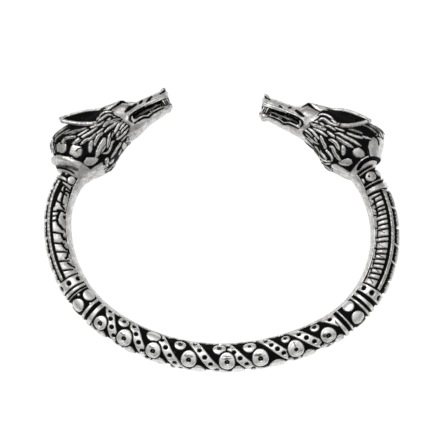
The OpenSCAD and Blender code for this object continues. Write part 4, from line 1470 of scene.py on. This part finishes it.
def ear(clay, form):
    """Laid-back ear, an open trough between two rims"""
    steps = EAR_STEPS
    upper, lower = (bezier(form[label], steps) for label in ("upper_rim", "lower_rim"))
    hollow, widths, top_rim, low_rim = [], [], [], []
    rises = [min(max(4.35 - 0.6 * t / (steps - 1), clay.on(*lower[t], 0.15)[2]), 5.0) for t in range(steps)]
    low_z = np.convolve(np.pad(rises, 4, mode="edge"), np.full(9, 1 / 9), mode="valid")
    for t in range(steps):
        share = t / (steps - 1)
        top = np.array(clay.under(*upper[t], 2.2 + 0.5 * share))
        low = np.array(clay.under(*lower[t], low_z[t]))
        depth = 1.25 * math.sin(math.pi * (0.22 + 0.70 * share))
        deep = (top + low) / 2 + np.array((0.0, -0.45, -0.89)) * depth
        radii = np.interp(np.linspace(0, 1, 7), (0.0, 0.3, 1.0), (form["upper_width"] - 0.04, 0.33, 0.33))
        clay.strand(bezier((top, deep, low), 7), radii, 0.2, crease=False, mark="ear")
        hollow.append((top + low + deep) / 3)
        widths.append(max(np.linalg.norm(top - low) * 0.5, 0.3))
        top_rim.append(top)
        low_rim.append(low)
    top_width = [form["upper_width"]] * steps
    low_width = np.interp(np.linspace(0, 1, steps), (0.0, 0.3, 1.0), (0.3, 0.42, 0.38))
    clay.strand(top_rim, top_width, 0.12, crease=False)
    clay.strand(low_rim, low_width, 0.12, crease=False)
    tip = [top_rim[-1], clay.under(*form["tip"], 3.3), low_rim[-1]]
    clay.strand(tip, EAR_TIP_WIDTH, 0.3, crease=False)
    form["hollow"] = (np.array(hollow), np.array(widths))
    form["rims"] = ((top_rim, top_width), (low_rim, low_width), (tip, EAR_TIP_WIDTH))
    under_ear = [point - np.array((0.0, 0.75, 0.25)) for point in low_rim[3:-3]]
    form["shade"] = (under_ear, np.full(len(under_ear), 0.5))


def eye_in_head(form):
    """The photograph's eye in a head's frame"""
    pitch, yaw = math.radians(EYE_PITCH), math.radians(EYE_YAW)
    x, y = EYE_DISTANCE * math.sin(yaw), -EYE_DISTANCE * math.sin(pitch) * math.cos(yaw)
    x, y = x - form["at"][0], y - form["at"][1]
    if form["mirrored"]:
        x = -x
    c, s = math.cos(math.radians(form["slope"])), math.sin(math.radians(form["slope"]))
    return c * x + s * y, c * y - s * x, EYE_DISTANCE * math.cos(pitch) * math.cos(yaw)


def sculpted(form):
    """Clay of one head"""
    cell = HEAD_CELL
    clay = Clay(HEAD_LOW, HEAD_HIGH, cell, eye_in_head(form))
    clay.d = lofted(form["sections"], cell, clay.low, clay.d.shape)
    mane(clay, form)
    brow_and_eye(clay, form)
    muzzle(clay, form)
    mouth(clay, form)
    ear(clay, form)
    return clay


# Round of the eye as seen, where the fur is grey: its middle and half its size
EYE_MIDDLE, EYE_HALF = (7.3, 2.3), (2.9, 3.0)


def head_black_and_painted_light(clay, form, points, near):
    """Share of black at points of a head: patina, with painted shade on the eye's bulge, under the ear and
    under the collar's ridge. near holds each kept distance at these points.
    """
    x, y, z = points[:, 0], points[:, 1], np.abs(points[:, 2])
    sx, sy = clay.seen(x, y, z)

    def off(strand):
        line, radii = strand
        return strand_distance(x, y, z, np.array(line), radii)

    off_tip = smooth((off(form["rims"][-1]) - 0.12) / 0.06)
    bare = smooth((near["added"] - 0.02) / 0.06) * off_tip
    fur = smooth(inside_outline(sx, sy, form["fur"]) / 0.5 + 0.5)
    rim = np.minimum.reduce([off(strand) for strand in form["rims"]])
    off_ear = smooth((np.minimum(rim, near["ear"]) - 0.03) / 0.08)
    far = np.hypot((sx - EYE_MIDDLE[0]) / EYE_HALF[0], (sy - EYE_MIDDLE[1]) / EYE_HALF[1])
    hollow = smooth(0.5 - off(form["hollow"]) / 0.2)
    tones = [
        bare * fur,
        # Creases between forms
        1.0 - smooth((near["second"] - 0.03) / 0.12),
        # Bare skin, darker on the lower jaw
        np.where(sy < 0.2, 0.15, 0.09) * bare,
        # Hair of the nape, round of the eye, plates, and the ground beside the locks
        0.42 * smooth((2.0 - sx) / 3.0) * smooth((sy - 2.7) / 0.7) * (1.0 - bare) * off_ear,
        0.24 * smooth((1.15 - far) / 0.4) * bare,
        # Painted shade: the eye's bulge is painted grey, which tones down the highlight that it catches
        0.24 * (near["eye"] < 0.1) * (sy < 4.6),
        0.2 * (near["plate"] < 0.03),
        0.5 * (near["low"] < 0.03) * (near["lock"] > 0.05),
        # Hollow of the ear, and the shade under it
        hollow * smooth((rim - 0.02) / 0.08) * smooth(1.0 - near["ear"] / 0.15),
        bare * smooth(0.5 - off(form["shade"]) / 0.4),
        # Walls of the open mouth
        0.9 * (1.0 - smooth((np.abs(form["gap"](x, y, z)) - 0.03) / 0.07)),
    ]
    # Painted soft shade, as under the collar's ridge, and thin dark streaks
    for line, r, tone in form["shade_and_streaks"]:
        flat = np.array([(px, py, 0.0) for px, py in line])
        tones.append(tone * smooth(0.5 - strand_distance(sx, sy, 0.0, flat, [r] * len(line)) / 0.7))
    tones += [smooth(0.5 - off(strand) / 0.12) for strand in clay.grooves]
    black_and_painted_light = np.maximum.reduce(tones)
    black_and_painted_light = np.where(near["tongue"] < 0.05, 0.4 * smooth(1.0 - near["tongue"] / 0.1), black_and_painted_light)
    return np.maximum(black_and_painted_light, form["tone"])


def main_shell(quads, count):
    """For each point, whether it is on the largest connected shell. The rest are specks and pockets."""
    label = np.arange(count)
    while True:
        lowest = label[quads].min(axis=1)
        joined = label.copy()
        for corner in quads.T:
            np.minimum.at(joined, corner, lowest)
        joined = joined[joined]
        if np.array_equal(joined, label):
            return label == np.bincount(label).argmax()
        label = joined


def wolf_head(name, form, material):
    """One head, meshed from its clay, in its place on the ring"""
    clay = sculpted(form)
    grid = vdb.FloatGrid(NEAR_SURFACE)
    grid.copyFromArray(whole(np.clip(clay.d, -NEAR_SURFACE, NEAR_SURFACE)))
    places, quads = grid.convertToQuads(isovalue=0.0)
    in_shell = main_shell(quads, len(places))
    quads = (np.cumsum(in_shell) - 1)[quads[in_shell[quads[:, 0]]]]
    places = places[in_shell]
    low = np.array((clay.low[0], clay.low[1], -clay.axes[2][-1]), dtype=np.float32)
    points = low + places * clay.cell
    kept = {"second": clay.second, "added": clay.added, **clay.marks}
    near = {label: sampled(whole(values), places) for label, values in kept.items()}
    mesh = mesh_of(name, points * MM, quads)
    set_values(mesh, "black_and_painted_light", head_black_and_painted_light(clay, form, points, near))
    turn = Matrix.Rotation(math.radians(form["slope"]), 4, "Z")
    flip = Matrix.Diagonal((-1.0 if form["mirrored"] else 1.0, 1, 1, 1))
    mesh.transform(Matrix.Translation((form["at"][0] * MM, form["at"][1] * MM, 0)) @ flip @ turn)
    finished(name, mesh, material)


def sampled(field, places):
    """Values of a field at places given in cells, by linear steps between them"""
    base = np.floor(places).astype(int)
    base = np.minimum(np.maximum(base, 0), np.array(field.shape) - 2)
    f = places - base
    total = 0.0
    for corner in np.ndindex(2, 2, 2):
        weight = np.prod([f[:, i] if corner[i] else 1 - f[:, i] for i in range(3)], axis=0)
        total = total + weight * field[tuple(base[:, i] + corner[i] for i in range(3))]
    return total


def signed_volume(mesh):
    """Volume of a closed mesh, under 0 where its faces point inwards"""
    points = np.zeros(len(mesh.vertices) * 3)
    mesh.vertices.foreach_get("co", points)
    points = points.reshape(-1, 3)
    mesh.calc_loop_triangles()
    corners = np.zeros(len(mesh.loop_triangles) * 3, dtype=np.int32)
    mesh.loop_triangles.foreach_get("vertices", corners)
    a, b, c = (points[corners.reshape(-1, 3)[:, i]] for i in range(3))
    return float(np.einsum("ij,ij->i", a, np.cross(b, c)).sum() / 6)


# Colours of the silver, from bare to black
SILVER_COLOURS = (
    (0.0, (0.87, 0.865, 0.85, 1)),
    (0.25, (0.50, 0.495, 0.48, 1)),
    (0.55, (0.11, 0.108, 0.102, 1)),
    (0.85, (0.004, 0.004, 0.004, 1)),
)


def ramp(tree, source, stops):
    """Colour that a tree's source picks from a ramp. Each stop has its position and its colour."""
    made = add_node(tree, "ShaderNodeValToRGB", values={"Fac": source})
    for i, (position, colour) in enumerate(stops):
        stop = made.color_ramp.elements[i] if i < 2 else made.color_ramp.elements.new(position)
        stop.position, stop.color = position, colour
    return made.outputs["Color"]


def silver():
    """Polished silver whose recesses are black"""
    material = bpy.data.materials.new("oxidised_silver")
    material.use_nodes = True
    tree = material.node_tree
    tree.nodes.clear()
    place = add_node(tree, "ShaderNodeTexCoord").outputs["Object"]
    black_and_painted_light = add_node(tree, "ShaderNodeAttribute", {"attribute_name": "black_and_painted_light"}).outputs["Fac"]

    def noise(scale, detail):
        values = {"Vector": place, "Scale": scale, "Detail": detail}
        return add_node(tree, "ShaderNodeTexNoise", values=values).outputs["Fac"]

    def spread(source, first, last, low=0.0, high=1.0, kind="LINEAR"):
        """Value that goes from first to last while the source goes from low to high"""
        made = add_node(tree, "ShaderNodeMapRange", {"interpolation_type": kind}, {
            "Value": source, "From Min": low, "From Max": high, "To Min": first, "To Max": last})
        return made.outputs[0]

    def plus(first, second):
        return add_node(tree, "ShaderNodeMath", {"operation": "ADD"}, {0: first, 1: second}).outputs[0]

    wear, grain, mottle = noise(900.0, 4.0), noise(5200.0, 3.0), noise(2300.0, 2.0)
    worn_and_painted_light = plus(black_and_painted_light, spread(wear, -0.09, 0.13, 0.3, 0.7))
    shown = plus(worn_and_painted_light, spread(mottle, -0.07, 0.09, 0.3, 0.7))
    black = spread(shown, 0.0, 1.0, 0.15, 0.75, "SMOOTHSTEP")
    cast = add_node(tree, "ShaderNodeBump", values={"Strength": 0.5, "Distance": 0.00007, "Height": mottle})
    grained = add_node(tree, "ShaderNodeBump", values={
        "Strength": 0.2, "Distance": 0.00003, "Height": grain, "Normal": cast.outputs[0]})
    shader = add_node(tree, "ShaderNodeBsdfPrincipled", values={
        "Base Color": ramp(tree, shown, SILVER_COLOURS),
        "Roughness": spread(shown, 0.38, 0.6),
        "Metallic": spread(black, 1.0, 0.1),
        "Specular IOR Level": spread(black, 0.5, 0.04),
        "Normal": grained.outputs[0],
    })
    add_node(tree, "ShaderNodeOutputMaterial", values={"Surface": shader.outputs[0]})
    return material


def floor():
    """Lit white table"""
    half = 3.0
    corners = [(-half, -half, 0), (half, -half, 0), (half, half, 0), (-half, half, 0)]
    mesh = mesh_of("floor", corners, [(0, 1, 2, 3)])
    material = bpy.data.materials.new("floor")
    material.use_nodes = True
    shader = material.node_tree.nodes["Principled BSDF"]
    look = {
        "Base Color": (0.05, 0.05, 0.05, 1), "Roughness": 1.0, "Specular IOR Level": 0.0,
        "Emission Color": (1, 1, 1, 1), "Emission Strength": 1.0,
    }
    for label, value in look.items():
        shader.inputs[label].default_value = value
    mesh.materials.append(material)
    ground = bpy.data.objects.new("floor", mesh)
    bpy.context.scene.collection.objects.link(ground)


def area_light(name, at, size, power):
    """Soft lamp at a point in metres, aimed at the ring"""
    data = bpy.data.lights.new(name, "AREA")
    data.shape = "DISK"
    data.size = size
    data.energy = power
    lamp = bpy.data.objects.new(name, data)
    place = Vector(at)
    lamp.matrix_world = Matrix.Translation(place) @ place.to_track_quat("Z", "Y").to_matrix().to_4x4()
    bpy.context.scene.collection.objects.link(lamp)


# Brightness of the sky at shares of its height
SKY = ((0.0, 0.22), (0.35, 0.30), (0.75, 0.66), (1.0, 0.92))


def studio():
    """Bright overhead, dim at the horizon, and a soft lamp"""
    world = bpy.data.worlds.new("studio")
    world.use_nodes = True
    tree = world.node_tree
    place = add_node(tree, "ShaderNodeTexCoord").outputs["Generated"]
    height = add_node(tree, "ShaderNodeSeparateXYZ", values={0: place}).outputs["Z"]
    sky = ramp(tree, height, [(position, (value, value, value, 1)) for position, value in SKY])
    background = tree.nodes["Background"]
    tree.links.new(sky, background.inputs["Color"])
    background.inputs["Strength"].default_value = 1.0
    bpy.context.scene.world = world
    area_light("key", (-0.18, 0.20, 0.42), 0.30, 0.7)
    bpy.context.scene.view_settings.view_transform = "Standard"


finish = silver()
hoop(finish)
for head_name, head_form in HEADS.items():
    wolf_head(head_name, head_form, finish)
floor()
studio()
